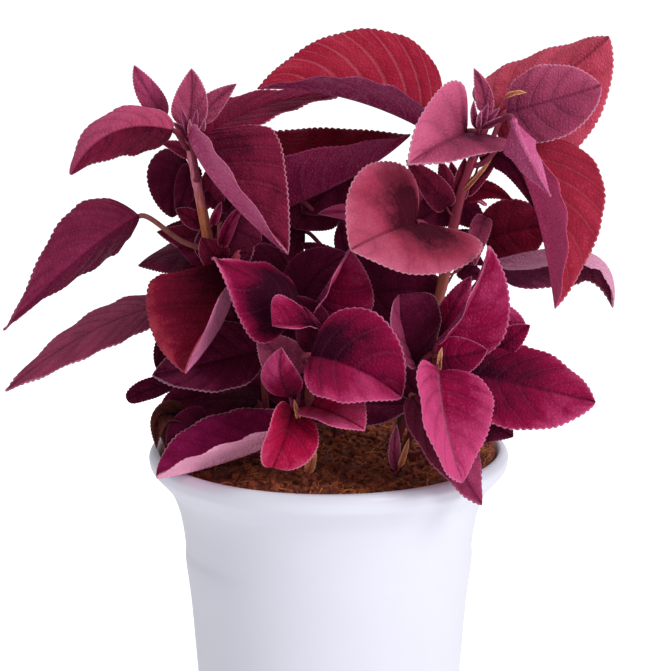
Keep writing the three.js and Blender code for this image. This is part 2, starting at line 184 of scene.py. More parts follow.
@dataclass
class Skin:
    """A closed surface in the making: points in millimetres, faces and values."""

    points: Array
    quads: Array
    triangles: Array
    values: dict[str, Array] = field(default_factory=dict)

    @property
    def halves(self) -> Array:
        """All faces as triangles, each quad cut in two."""
        return np.vstack([self.quads[:, [0, 1, 2]], self.quads[:, [0, 2, 3]], self.triangles])

    def turn_out(self) -> "Skin":
        """Turns the faces where they point inwards.

        The sum over all triangles of a . (b x c) / 6 is the volume inside, and it is
        negative when the faces point in.

        Returns:
            This surface.
        """
        a, b, c = (self.points[self.halves[:, k]] for k in range(3))
        if np.sum(a * np.cross(b, c)) < 0:
            self.quads = self.quads[:, ::-1]
            self.triangles = self.triangles[:, ::-1]
        return self

    def piece(self, name: str, finish: bpy.types.Material) -> bpy.types.Object:
        """Makes the Blender object.

        Args:
            name: the object's name.
            finish: its material.

        Returns:
            A smooth-shaded object at the origin, in metres, with the point values as
            attributes of the same names.
        """
        mesh = bpy.data.meshes.new(name)
        faces = self.quads.tolist() + self.triangles.tolist()
        mesh.from_pydata((self.points * MM).tolist(), [], faces)
        for key, numbers in self.values.items():
            attribute = mesh.attributes.new(key, "FLOAT", "POINT")
            attribute.data.foreach_set("value", np.ascontiguousarray(numbers, np.float32))
        mesh.polygons.foreach_set("use_smooth", np.ones(len(faces), bool))
        mesh.materials.append(finish)
        mesh.update()
        thing = bpy.data.objects.new(name, mesh)
        bpy.context.scene.collection.objects.link(thing)
        return thing


def lofted(rings: Array, first: Array, last: Array, values: dict[str, Array] | None = None) -> Skin:
    """A closed body through equal rings, with a point at each end.

    Point j of ring i joins point j of ring i+1 and, around the ring, point j+1.

    Args:
        rings: rings by points by coordinates.
        first: the point that closes the first ring.
        last: the point that closes the last ring.
        values: point values, rings by points, by name.

    Returns:
        The surface, faces outwards. An end point takes the mean value of its ring.
    """
    count = rings.shape[1]
    here = np.arange(count)
    after = (here + 1) % count
    base = np.arange(len(rings) - 1)[:, None] * count
    quads = np.stack([base + here, base + after, base + count + after, base + count + here], -1)
    start = rings.shape[0] * count
    top = start - count
    low = np.stack([np.full(count, start), after, here], -1)
    high = np.stack([np.full(count, start + 1), top + here, top + after], -1)
    points = np.vstack([rings.reshape(-1, 3), first, last])
    made = {
        name: np.concatenate([v.ravel(), [v[0].mean(), v[-1].mean()]])
        for name, v in (values or {}).items()
    }
    return Skin(points, quads.reshape(-1, 4), np.vstack([low, high]), made).turn_out()


def rings_around(line: Array, reach: Array, side: Array, other: Array, angle: Array) -> Array:
    """Rings about the places of a line.

    The ring point at angle t stands off its place by reach * (side cos t + other sin t).

    Args:
        line: places, of any shape, with the coordinates last.
        reach: distances, one for each place or one for each ring point, the latter last.
        side: the direction of angle 0 at each place.
        other: the direction of a quarter turn at each place.
        angle: the angles of the ring points.

    Returns:
        Places by ring points by coordinates.
    """
    cosine, sine = np.cos(angle)[:, None], np.sin(angle)[:, None]
    spokes = cosine * side[..., None, :] + sine * other[..., None, :]
    return line[..., None, :] + reach[..., None] * spokes


def tube(line: Array, radii: Array, across: Array, sides: int, corner: float) -> Skin:
    """A closed tube along a line.

    A ring point at angle t stands off the line by radius * (1 + corner * cos 4t),
    which is round at corner 0 and square with soft corners above that.

    Args:
        line: the centre line, n places.
        radii: the radius at each place.
        across: a direction that is square to the line everywhere, roughly.
        sides: how many points a ring has.
        corner: how square the section is.

    Returns:
        The surface, faces outwards.
    """
    heading = unit(np.gradient(line, axis=0))
    side = unit(across - dot(across, heading) * heading)
    angle = (np.arange(sides) + 0.5) * 2 * math.pi / sides
    reach = radii[:, None] * (1 + corner * np.cos(4 * angle))
    return lofted(rings_around(line, reach, side, np.cross(heading, side), angle), line[0], line[-1])


def turned(profile: Array, sides: int) -> Array:
    """The ring (radius cos t, radius sin t, height) of each profile point (radius, height)."""
    angle = full_turn(sides)
    rings = np.empty((len(profile), sides, 3))
    rings[..., 0] = profile[:, :1] * np.cos(angle)
    rings[..., 1] = profile[:, :1] * np.sin(angle)
    rings[..., 2] = profile[:, 1:]
    return rings


def revolved(profile: Array, sides: int) -> Skin:
    """A closed body of revolution about Z.

    Each profile point becomes a ring, apart from the first and the last, which lie on
    the axis and close the ends.

    Args:
        profile: n rows of radius and height.
        sides: how many points a ring has.

    Returns:
        The surface, faces outwards.
    """
    ends = np.zeros((2, 3))
    ends[:, 2] = profile[[0, -1], 1]
    return lofted(turned(profile[1:-1], sides), ends[0], ends[1])


# ------------------------------------------------------------------ shader wiring


def srgb(code: int) -> Colour:
    """The linear colour of a hex code: ((c + 0.055) / 1.055)^2.4, or c / 12.92 when dark."""
    shares = [((code >> shift) & 255) / 255 for shift in (16, 8, 0)]
    lit = [c / 12.92 if c <= 0.04045 else ((c + 0.055) / 1.055) ** 2.4 for c in shares]
    return lit[0], lit[1], lit[2], 1.0


class Wiring:
    """A short hand for adding nodes to one node tree and joining them."""

    def __init__(self, tree: bpy.types.NodeTree) -> None:
        """Keeps the tree that the nodes go into."""
        self.tree = tree

    def add(self, kind: str, settings: dict | None = None, **inputs: object) -> bpy.types.Node:
        """Adds a node.

        Args:
            kind: the node type without its ShaderNode prefix.
            settings: properties of the node itself.
            inputs: a value or a socket for each input, by its name in lower case with
                underscores for spaces.

        Returns:
            The node.
        """
        node = self.tree.nodes.new("ShaderNode" + kind)
        for name, value in (settings or {}).items():
            setattr(node, name, value)
        for name, value in inputs.items():
            wanted = name.replace("_", " ").lower()
            slot = next(s for s in node.inputs if s.name.lower() == wanted and s.enabled)
            self.feed(slot, value)
        return node

    def feed(self, slot: Socket, value: object) -> None:
        """Joins a socket to an input, or sets the input's own value."""
        if isinstance(value, bpy.types.NodeSocket):
            self.tree.links.new(value, slot)
        else:
            slot.default_value = value

    def dress(self, shader: bpy.types.Node, looks: dict[str, object]) -> None:
        """Feeds a shader's inputs by their names."""
        for name, value in looks.items():
            self.feed(shader.inputs[name], value)

    def maths(self, operation: str, a: object, b: object = 0.0, clamp: bool = False) -> Socket:
        """One Math node's result."""
        node = self.add("Math", {"operation": operation, "use_clamp": clamp})
        self.feed(node.inputs[0], a)
        self.feed(node.inputs[1], b)
        return node.outputs[0]

    def plus(self, a: object, b: object) -> Socket:
        """The sum of a and b."""
        return self.maths("ADD", a, b)

    def times(self, a: object, b: object) -> Socket:
        """The product of a and b."""
        return self.maths("MULTIPLY", a, b)

    def less(self, a: object, b: object) -> Socket:
        """What is left of a without b."""
        return self.maths("SUBTRACT", a, b)

    def most(self, a: object, b: object) -> Socket:
        """The greater of a and b."""
        return self.maths("MAXIMUM", a, b)

    def mix(self, share: object, a: object, b: object) -> Socket:
        """The mix of two colours by a share."""
        node = self.add("Mix", {"data_type": "RGBA"})
        self.feed(node.inputs[0], share)
        self.feed(node.inputs[6], a)
        self.feed(node.inputs[7], b)
        return node.outputs[2]

    def span(self, x: object, low: float, high: float, to_low: float, to_high: float) -> Socket:
        """The value x carried smoothly from one span to another, and held past its ends."""
        node = self.add("MapRange", {"interpolation_type": "SMOOTHSTEP"}, value=x)
        for slot, number in zip(node.inputs[1:5], (low, high, to_low, to_high)):
            slot.default_value = number
        return node.outputs[0]

    def own(self, name: str) -> Socket:
        """A point value of the piece."""
        settings = {"attribute_type": "GEOMETRY", "attribute_name": name}
        return self.add("Attribute", settings).outputs["Fac"]

    def place(self) -> Socket:
        """The place on the piece, in metres from the origin."""
        return self.add("TexCoord").outputs["Object"]

    def noise(self, scale: object, detail: float = 3.0, roughness: float = 0.55) -> Socket:
        """A soft random value, 0 to 1, with `scale` lumps to the metre."""
        looks = {"scale": scale, "detail": detail, "roughness": roughness}
        return self.add("TexNoise", vector=self.place(), **looks).outputs[0]

    def mottle(self, group: bpy.types.NodeTree, broad: float, fine: float) -> Socket:
        """The mottle group's value, with so many broad and fine lumps to the metre."""
        return self.add("Group", {"node_tree": group}, broad=broad, fine=fine).outputs[0]

    def bump(self, height: Socket, strength: float, depth: float) -> Socket:
        """A normal that follows a height of 0 to 1, `depth` metres deep."""
        return self.add("Bump", height=height, strength=strength, distance=depth).outputs[0]


def new_group(name: str, inputs: tuple[str, ...], outputs: tuple[str, ...]) -> tuple[Wiring, dict, dict]:
    """Starts a shader node group whose sockets are plain numbers.

    Args:
        name: the group's name.
        inputs: names of its inputs.
        outputs: names of its outputs.

    Returns:
        The wiring of the group, its inputs as sockets to read, and its outputs as
        sockets to feed, both by name.
    """
    tree = bpy.data.node_groups.new(name, "ShaderNodeTree")
    for label in inputs:
        tree.interface.new_socket(label, in_out="INPUT", socket_type="NodeSocketFloat")
    for label in outputs:
        tree.interface.new_socket(label, in_out="OUTPUT", socket_type="NodeSocketFloat")
    source = tree.nodes.new("NodeGroupInput")
    sink = tree.nodes.new("NodeGroupOutput")
    return (
        Wiring(tree),
        {label: source.outputs[label] for label in inputs},
        {label: sink.inputs[label] for label in outputs},
    )


def new_material(name: str) -> tuple[bpy.types.Material, Wiring, bpy.types.Node]:
    """An empty material with a Principled shader at its output.

    Args:
        name: the material's name.

    Returns:
        The material, the wiring of its tree and the Principled node.
    """
    material = bpy.data.materials.new(name)
    material.use_nodes = True
    material.node_tree.nodes.clear()
    wiring = Wiring(material.node_tree)
    shader = wiring.add("BsdfPrincipled")
    output = wiring.add("OutputMaterial")
    wiring.feed(output.inputs["Surface"], shader.outputs["BSDF"])
    return material, wiring, shader


# ------------------------------------------------------------------ finishes


VENATION_READS = ("Vein", "Across", "Edge")


@dataclass(frozen=True)
class Venation:
    """The parts of a blade's vein pattern, each 0 to 1."""

    midrib: Socket
    veins: Socket
    net: Socket
    rim: Socket
    swell: Socket


def mottle_group() -> bpy.types.NodeTree:
    """Uneven tone: a broad and a fine soft noise of object coordinates, mixed.

    Returns:
        A group with the inputs Broad and Fine, in lumps to the metre, and the output
        Value, about 0.5 on average.
    """
    wiring, inputs, outputs = new_group("mottle", ("Broad", "Fine"), ("Value",))
    broad = wiring.noise(inputs["Broad"], 2.0)
    fine = wiring.noise(inputs["Fine"], 4.0, 0.6)
    wiring.feed(outputs["Value"], wiring.plus(wiring.times(broad, 0.6), wiring.times(fine, 0.4)))
    return wiring.tree


def venation_group() -> bpy.types.NodeTree:
    """The veins of a leaf blade, from its own point values.

    Vein counts the side veins from the heel, so a vein runs where it is a whole
    number. Across and Edge are the distances to the midrib and to the margin in
    millimetres. The net between the veins is the walls of small random cells.

    Returns:
        A group with the inputs Vein, Across and Edge and the outputs Midrib, Veins,
        Net, Rim and Swell, each 0 to 1. Swell is highest half way between two veins.
    """
    labels = ("Midrib", "Veins", "Net", "Rim", "Swell")
    wiring, inputs, outputs = new_group("venation", VENATION_READS, labels)
    whole = wiring.maths("ROUND", inputs["Vein"])
    off = wiring.maths("ABSOLUTE", wiring.less(inputs["Vein"], whole))
    width = wiring.span(inputs["Edge"], 0.0, 16.0, 0.07, 0.15)
    side_veins = wiring.span(wiring.maths("DIVIDE", off, width), 0.0, 1.0, 1.0, 0.0)
    branch = wiring.maths("ABSOLUTE", wiring.less(off, 0.5))
    branches = wiring.span(branch, 0.0, 0.07, 0.5, 0.0)
    forks = wiring.times(branches, wiring.span(inputs["Edge"], 3.0, 9.0, 1.0, 0.0))
    cells = wiring.add("TexVoronoi", {"feature": "DISTANCE_TO_EDGE"}, vector=wiring.place(), scale=620.0)
    wiring.feed(outputs["Midrib"], wiring.span(inputs["Across"], 0.35, 1.1, 1.0, 0.0))
    wiring.feed(outputs["Veins"], wiring.most(side_veins, forks))
    wiring.feed(outputs["Net"], wiring.span(cells.outputs["Distance"], 0.0, 0.35, 0.0, 1.0))
    wiring.feed(outputs["Rim"], wiring.span(inputs["Edge"], 0.1, 0.75, 1.0, 0.0))
    wiring.feed(outputs["Swell"], wiring.span(off, 0.02, 0.36, 0.0, 1.0))
    return wiring.tree


class Groups:
    """The node groups that the finishes share."""

    def __init__(self) -> None:
        """Builds both groups."""
        self.mottle = mottle_group()
        self.venation = venation_group()


class Finish:
    """What all finishes share: a material is started here and wired by each kind."""

    def material(self, name: str, groups: Groups) -> bpy.types.Material:
        """Builds the finish.

        Args:
            name: the material's name.
            groups: the shared node groups.

        Returns:
            The material.
        """
        material, wiring, shader = new_material(name)
        wiring.dress(shader, self.looks(wiring, groups))
        return material

    def looks(self, wiring: Wiring, groups: Groups) -> dict[str, object]:
        """What the shader's inputs are fed with, by their names."""
        raise NotImplementedError(type(self).__name__)


@dataclass(frozen=True)
class LeafFinish(Finish):
    """The skin of a leaf: velvety, puckered between the veins, paler underneath.

    `slot` is the record's material slot without its leaf_ prefix. `upper` is the
    colour of the upper side, `deep` that of its dark heart and of painted shade, and
    `bright` that of its paler margins and tip and of painted light and sheen. `vein` is
    the colour of the veins seen from above, `under` and `rib` are those of the underside
    and its raised veins, rib also the underside's painted light, `rim` is the line of the
    margin and `stalk` the colour of the stalk. It reads the point values vein, across,
    edge, side, tone, light_rib and stalk of a leaf; tone carries painted light and shade
    with the leaf's own darker heart and paler margins.
    """

    slot: str
    upper: int
    deep: int
    bright: int
    vein: int
    under: int
    rib: int
    rim: int
    stalk: int = 0x8E3A50
    roughness: float = 0.5
    gloss: float = 0.11
    gloss_tint: int = 0xE88CB4
    velvet: float = 0.02
    velvet_tint: int = 0xD080A8
    relief_depth: float = 0.0006

    def shaded(self, wiring: Wiring, tone: Socket, middle: int, bright: int) -> tuple[Socket, Socket]:
        """The colour of a tone, which carries painted light and shade.

        Args:
            wiring: the material's wiring.
            tone: -1 to 1, which leads from `deep`, the dark heart and painted shade, over middle to bright,
                the pale margins and painted light.
            middle: the colour of tone 0.
            bright: the colour of tone 1.

        Returns:
            The colour, and how far below 0 the tone is.
        """
        # Tone below 0 darkens toward deep, the dark heart and painted shade; above 0 it lightens toward
        # bright, the pale margins and painted light.
        light = wiring.maths("MAXIMUM", tone, 0.0, clamp=True)
        dark = wiring.maths("MULTIPLY", tone, -1.0, clamp=True)
        colour = wiring.mix(light, srgb(middle), srgb(bright))
        return wiring.mix(dark, colour, srgb(self.deep)), dark

    def upper_side(self, wiring: Wiring, tone: Socket, parts: Venation) -> Socket:
        """The upper side's colour: the tone, faint veins, a dark midrib and the line of the margin.

        Args:
            wiring: the material's wiring.
            tone: how dark or bright it is, -1 to 1, painted light and shade included.
            parts: the vein pattern.

        Returns:
            The colour.
        """
        colour, dark = self.shaded(wiring, tone, self.upper, self.bright)
        shown = wiring.times(parts.veins, wiring.span(dark, 0.0, 1.0, 0.3, 0.08))
        colour = wiring.mix(shown, colour, srgb(self.vein))
        colour = wiring.mix(wiring.times(parts.midrib, 0.45), colour, srgb(self.deep))
        pale = wiring.times(parts.midrib, wiring.own("light_rib"))
        colour = wiring.mix(pale, colour, srgb(self.rim))
        return wiring.mix(wiring.times(parts.rim, 0.75), colour, srgb(self.rim))

    def lower_side(self, wiring: Wiring, tone: Socket, parts: Venation) -> Socket:
        """The underside's colour: a netted tone with pale raised veins and a pale margin.

        Args:
            wiring: the material's wiring.
            tone: how dark or bright it is, -1 to 1, painted light and shade included.
            parts: the vein pattern.

        Returns:
            The colour.
        """
        netted = wiring.plus(tone, wiring.span(parts.net, 0.0, 1.0, -0.16, 0.1))
        colour, dark = self.shaded(wiring, netted, self.under, self.rib)
        raised = wiring.times(wiring.most(parts.veins, parts.midrib), 0.3)
        raised = wiring.times(raised, wiring.less(1.0, dark))
        raised = wiring.most(raised, wiring.times(parts.rim, 0.6))
        return wiring.mix(raised, colour, srgb(self.rib))

    def relief(self, wiring: Wiring, above: Socket, parts: Venation) -> Socket:
        """The height: the net with veins sunk on top and raised underneath, and a fine grain.

        Args:
            wiring: the material's wiring.
            above: 1 on the upper side, 0 on the underside.
            parts: the vein pattern.

        Returns:
            The height of the surface, about 0 to 1.
        """
        sunk = wiring.plus(wiring.times(parts.net, 0.7), wiring.times(parts.veins, -0.6))
        raised = wiring.plus(wiring.times(parts.net, 1.3), wiring.times(parts.veins, 0.6))
        height = wiring.plus(wiring.times(sunk, above), wiring.times(raised, wiring.less(1.0, above)))
        height = wiring.times(height, wiring.less(1.0, wiring.own("stalk")))
        return wiring.plus(height, wiring.times(wiring.noise(1500.0), 0.25))

    def looks(self, wiring: Wiring, groups: Groups) -> dict[str, object]:
        """Both sides and the stalk; the mottling and the net shift the tone a little, and the swelling
        paints light on the puckers and shade at the veins.

        Args:
            wiring: the material's wiring.
            groups: the shared node groups.

        Returns:
            What the shader's inputs are fed with, by their names.
        """
        pattern = wiring.add("Group", {"node_tree": groups.venation})
        for label in VENATION_READS:
            wiring.feed(pattern.inputs[label], wiring.own(label.lower()))
        parts = Venation(*pattern.outputs)
        mottle = wiring.mottle(groups.mottle, 60.0, 420.0)
        above = wiring.span(wiring.own("side"), -0.2, 0.2, 0.0, 1.0)
        # The tone value brings painted light and shade; the mottle adds uneven colour.
        tone = wiring.plus(wiring.own("tone"), wiring.span(mottle, 0.36, 0.64, -0.2, 0.2))
        # Painted highlight on the puckered crowns between the veins, painted shade in the hollows along
        # them.
        tone = wiring.plus(tone, wiring.span(parts.swell, 0.0, 1.0, -0.08, 0.06))
        tone = wiring.plus(tone, wiring.span(parts.net, 0.0, 1.0, -0.08, 0.04))
        top = self.upper_side(wiring, tone, parts)
        blade = wiring.mix(above, self.lower_side(wiring, tone, parts), top)
        streaks = wiring.span(mottle, 0.35, 0.65, 0.1, 0.5)
        stalk = wiring.mix(streaks, srgb(self.stalk), srgb(self.deep))
        rough, smooth = self.roughness + 0.1, self.roughness - 0.04
        return {
            "Base Color": wiring.mix(wiring.own("stalk"), blade, stalk),
            "Normal": wiring.bump(self.relief(wiring, above, parts), 0.6, self.relief_depth),
            "Roughness": wiring.span(parts.net, 0.0, 1.0, rough, smooth),
            "Sheen Weight": self.velvet,
            "Sheen Roughness": 0.5,
            "Sheen Tint": srgb(self.velvet_tint),
            "Specular IOR Level": self.gloss,
            "Specular Tint": srgb(self.gloss_tint),
        }


@dataclass(frozen=True)
class StemFinish(Finish):
    """A young stem: rose near the top, amber and olive lower down, streaked with crimson.

    `low`, `centre` and `high` are the heights above the pot's base at which the colour
    is wholly that of the foot, the middle and the top.
    """

    top: int = 0xE0809C
    middle: int = 0xC87438
    foot: int = 0x5A2426
    low: float = 165.0
    centre: float = 243.0
    high: float = 270.0
    streak: int = 0x9A2C4C
    streak_stretch: float = 0.08
    gloss: float = 0.25

    def looks(self, wiring: Wiring, groups: Groups) -> dict[str, object]:
        """Three colours by wavering height, and a fine noise drawn out along the stem.

        Args:
            wiring: the material's wiring.
            groups: the shared node groups.

        Returns:
            What the shader's inputs are fed with, by their names.
        """
        split = wiring.add("SeparateXYZ", vector=wiring.place())
        mottle = wiring.mottle(groups.mottle, 90.0, 600.0)
        height = wiring.plus(split.outputs["Z"], wiring.times(wiring.less(mottle, 0.5), 0.08))
        lower = wiring.span(height, self.low * MM, self.centre * MM, 0.0, 1.0)
        upper = wiring.span(height, self.centre * MM, self.high * MM, 0.0, 1.0)
        colour = wiring.mix(lower, srgb(self.foot), srgb(self.middle))
        colour = wiring.mix(upper, colour, srgb(self.top))
        drawn_out = wiring.add("Mapping", vector=wiring.place())
        drawn_out.inputs["Scale"].default_value = (1.0, 1.0, self.streak_stretch)
        grain = wiring.add("TexNoise", vector=drawn_out.outputs[0], scale=1400.0, detail=2.0).outputs[0]
        return {
            "Base Color": wiring.mix(wiring.span(grain, 0.42, 0.68, 0.0, 0.65), colour, srgb(self.streak)),
            "Normal": wiring.bump(grain, 0.35, 0.0004),
            "Roughness": wiring.span(mottle, 0.3, 0.7, 0.42, 0.58),
            "Specular IOR Level": self.gloss,
        }


@dataclass(frozen=True)
class PotFinish(Finish):
    """White moulded plastic with a cool cast, satin, very slightly uneven."""

    white: int = 0xE3E3F1
    shade: int = 0xE0E0EF
    roughness: float = 0.34

    def looks(self, wiring: Wiring, groups: Groups) -> dict[str, object]:
        """Two near whites and two roughnesses in broad patches, and a faint grain.

        Args:
            wiring: the material's wiring.
            groups: the shared node groups.

        Returns:
            What the shader's inputs are fed with, by their names.
        """
        mottle = wiring.mottle(groups.mottle, 9.0, 60.0)
        patches = wiring.span(mottle, 0.2, 0.8, 0.0, 1.0)
        return {
            "Base Color": wiring.mix(patches, srgb(self.white), srgb(self.shade)),
            "Roughness": wiring.span(mottle, 0.2, 0.8, self.roughness, self.roughness + 0.03),
            "Normal": wiring.bump(wiring.noise(2400.0, 2.0), 0.05, 0.0002),
        }


@dataclass(frozen=True)
class EarthFinish(Finish):
    """Damp potting mix, or one of its parts: two browns in patches and a rough grain.

    `patches` are the mottle's values up to which the brown is the dark one and from
    which it is the light one.
    """

    dark: int
    light: int
    patches: tuple[float, float] = (0.42, 0.68)
    roughness: float = 0.92

    def looks(self, wiring: Wiring, groups: Groups) -> dict[str, object]:
        """The mottle gives the brown, the roughness and the grain.

        Args:
            wiring: the material's wiring.
            groups: the shared node groups.

        Returns:
            What the shader's inputs are fed with, by their names.
        """
        mottle = wiring.mottle(groups.mottle, 240.0, 1400.0)
        share = wiring.span(mottle, *self.patches, 0.0, 1.0)
        return {
            "Base Color": wiring.mix(share, srgb(self.dark), srgb(self.light)),
            "Roughness": wiring.span(mottle, 0.3, 0.7, self.roughness, self.roughness - 0.18),
            "Normal": wiring.bump(mottle, 0.8, 0.0012),
        }


class Tone(Enum):
    """The leaf colours of the plant; the dark and dusk ones are darkened for leaves in shade, painted shade,
    and the mauve one has a pale bloom of painted sheen.
    """

    CRIMSON = LeafFinish("crimson", 0x8C2244, 0x44061E, 0xB84A70, 0xA04462, 0xB4386F, 0xDC74A2, 0xD488A0)
    ORANGE = LeafFinish("orange", 0x98243A, 0x540E22, 0xD0566E, 0xB05060, 0xD03C78, 0xE85C92, 0xC86A78)
    RED = LeafFinish("red", 0x7E1230, 0x380616, 0xC84E5C, 0x92283A, 0x8A2454, 0xD878A4, 0xA8445A)
    SCARLET = LeafFinish("red", 0x981C34, 0x4A0818, 0xB83C4E, 0xC87080, 0x982A5C, 0xC87098, 0x8A3048)
    MAGENTA = LeafFinish("magenta", 0x840A38, 0x2C0316, 0xC44478, 0x902A56, 0x8A2456, 0xC8608E, 0xCC7094)
    RIMMED = LeafFinish("plum", 0x7E0C42, 0x34041C, 0xB02C6C, 0x9A2458, 0xE87CAC, 0xFFB0D0, 0xE8A8C0)
    # Mauve with the pale bloom of the sheen from above painted in: partly painted sheen.
    MAUVE = LeafFinish("mauve", 0x9A3C5C, 0x541A34, 0xC85E82, 0x8A4460, 0xAC5480, 0xD898B6, 0xD08CA8)
    ROSE = LeafFinish("mauve", 0x9C344E, 0x400C1C, 0xC05C7A, 0x8A3850, 0x9A5078, 0xC890A8, 0xD890A0)
    PINK = LeafFinish("mauve", 0xB0446C, 0x6A1E40, 0xCC608C, 0xA04468, 0xB84A7C, 0xD878A4, 0xDC88A8)
    PLUM = LeafFinish("plum", 0x76203F, 0x3A0622, 0xA43C64, 0x8A3A5C, 0xB04478, 0xDC80AC, 0xA8587A, 0xB07068)
    # These two: the leaf colour darkened for leaves deep in the plant, painted shade.
    DARK = LeafFinish("dark", 0x500A28, 0x220410, 0x82244A, 0x5A1634, 0x5C1838, 0x8A4A66, 0x7E3A58)
    DUSK = LeafFinish("dark", 0x560C2C, 0x240510, 0x98385E, 0x5A1638, 0x7A2850, 0xB05C84, 0xB8849C)
    CHERRY = LeafFinish("magenta", 0xA40C3A, 0x40061C, 0xCC4A7C, 0xA83058, 0x8A2456, 0xC8608E, 0xD88098)
    CLARET = LeafFinish("dark", 0x760E26, 0x300610, 0x8C2C40, 0x70202F, 0x881C48, 0xA0446C, 0x8A4464)
    VIOLET = LeafFinish("mauve", 0x8A2C52, 0x501834, 0xB05880, 0x84446E, 0x98406A, 0xC488A4, 0xB06488)
    SHOOT = LeafFinish("mauve", 0xC87C5C, 0x9A4638, 0xE0B080, 0xB88058, 0xC88A60, 0xE4C090, 0xD8A078)
    WITHERED = LeafFinish("dark", 0x48201E, 0x220E10, 0x6C3A30, 0x301416, 0x522828, 0x744438, 0x62382E)

    @property
    def slot(self) -> str:
        """The record's material slot of this colour."""
        return "leaf_" + self.value.slot


class Finishes:
    """Every material of the plant, each built once."""

    def __init__(self) -> None:
        """Builds the node groups and then the materials."""
        groups = Groups()
        self.leaf = {tone: tone.value.material("leaf_" + tone.name.lower(), groups) for tone in Tone}
        self.stem = StemFinish().material("stem_skin", groups)
        self.red_stem = StemFinish(0x8A2C44, 0x8E4C34, high=252.0, centre=222.0).material("stem_red", groups)
        self.pot = PotFinish().material("pot_plastic", groups)
        self.soil = EarthFinish(0x622818, 0xA85838).material("soil_mix", groups)
        self.crumb = EarthFinish(0x642A18, 0xB05C38, (0.36, 0.62)).material("soil_crumb", groups)
        self.fibre = EarthFinish(0xA04A1C, 0xDC8C44, (0.38, 0.66), 0.8).material("soil_fibre", groups)


# ------------------------------------------------------------------ stems


@dataclass(frozen=True)
class Stem:
    """A four-sided stem that thickens where leaves leave it.

    `foot` and `top` are the radii of its two ends, of which the core has the share
    `slimness`, and `corner` says how square it is. At each leaf it swells by the share
    `swelling` in a bell of the share `bell` of its length, and the dome at its top is
    as long. The foot goes on below the soil in rings at the depths `buried`.
    """

    name: str
    foot: float
    top: float
    path: tuple[Place, ...]
    red: bool = False
    slimness: float = 0.84
    corner: float = 0.07
    swelling: float = 0.22
    bell: float = 0.02
    buried: tuple[float, float] = (4.0, 2.0)
    buried_swelling: tuple[float, float] = (1.15, 1.1)
    rings: int = 110
    sides: int = 24

    def axis(self, u: Array) -> Array:
        """The centre line at the shares u of its length in points."""
        return catmull_rom(np.array(self.path, float), u)

    def heading(self, u: float) -> Array:
        """The direction of the centre line at u."""
        step = 1e-3
        ends = self.axis(np.array([max(u - step, 0), min(u + step, 1)]))
        return unit(ends[1] - ends[0])

    def radius(self, u: Array) -> Array:
        """The radius of the core at u, which falls in a straight line from foot to top."""
        return self.slimness * (self.foot + (self.top - self.foot) * u)

    def skin(self, joints: list[float]) -> Skin:
        """The surface of the stem.

        The radius falls evenly and swells in a bell, exp(-x^2), about each leaf joint;
        the section is a square with soft corners. The foot goes on down into the soil
        and the top closes in a dome.

        Args:
            joints: the shares of the length where leaves leave.

        Returns:
            The surface.
        """
        u = np.linspace(0, 1, self.rings)
        line = self.axis(u)
        bells = sum(np.exp(-(((u - at) / self.bell) ** 2)) for at in joints)
        radii = self.radius(u) * (1 + self.swelling * np.minimum(bells, 1))
        radii *= np.sqrt(np.clip((1.004 - u) / self.bell, 0, 1))
        below = line[:1] - unit(line[1] - line[0]) * np.array(self.buried)[:, None]
        line = np.vstack([below, line])
        radii = np.concatenate([radii[0] * np.array(self.buried_swelling), radii])
        across = np.tile([1.0, 0.25, 0.0], (len(line), 1))
        return tube(line, radii, across, self.sides, self.corner)


STEMS = (
    Stem("left_stem", 2.9, 1.8,
         ((-24, -4, 148.5), (-37, -2, 185), (-49, -1, 225), (-56, -2, 262), (-61, -4, 288))),
    Stem("right_stem", 2.9, 1.8,
         ((29, 2, 148.5), (42, 2, 190), (50, 0, 223), (57, -4, 262), (68, -8, 296)), red=True),
    Stem("back_stem", 2.7, 1.7, ((3, 22, 148.5), (3, 30, 185), (5, 38, 225), (6, 44, 262))),
    Stem("middle_stem", 2.3, 1.6,
         ((-8, -14, 148.5), (-8, -24, 172), (-9, -34, 198), (-10, -43, 222))),
    Stem("front_stem", 1.9, 1.4, ((-7, -37, 148.5), (-10, -47, 164), (-13, -57, 182))),
    Stem("low_right_stem", 2.2, 1.5,
         ((30, -30, 148.5), (36, -38, 167), (42, -46, 187), (46, -52, 205))),
    Stem("low_left_stem", 2.2, 1.5, ((-26, -18, 148.5), (-27, -23, 168), (-28, -28, 188))),
)


# ------------------------------------------------------------------ leaves


LOOK_UP = math.radians(12.8)


class Facing(Enum):
    """The way a leaf's upper side looks, apart from its folds."""

    FRONT = (0.0, -math.cos(LOOK_UP), math.sin(LOOK_UP))
    UP = (0.0, 0.0, 1.0)


@dataclass(frozen=True)
class LeafGrain:
    """How fine the leaf surfaces are and how deep their relief is, in millimetres.

    `cup` is the angle in degrees by which a half curls back toward its margin and
    `shares` are the places of the grid lines between the midrib, 0, and the margin, 1.
    A leaf of `full_width` or more has the whole relief and a smaller one less.
    `stations` and `vein_counts` are the least and the most that a blade may have.
    """

    thickness: float = 0.42
    margin_thickness: float = 0.26
    cup: float = -10.0
    full_width: float = 40.0
    stalk_radius: float = 1.15
    thin_stalk_radius: float = 0.5
    stalk_to_width: float = 0.035
    stalk_ring_spacing: float = 2.0
    tooth_pitch: float = 2.7
    fine_tooth_pitch: float = 1.5
    pitch_to_margin: float = 0.038
    tooth_height: float = 0.95
    steps_per_tooth: float = 4.5
    stations: tuple[int, int] = (36, 170)
    vein_spacing: float = 8.5
    vein_counts: tuple[int, int] = (4, 9)
    pucker: float = 0.62
    ripple: float = 0.55
    groove: float = 0.5
    shares: tuple[float, ...] = (0.03, 0.07, 0.15, 0.26, 0.38, 0.5, 0.62, 0.74, 0.85, 0.94, 1.0)


GRAIN = LeafGrain()


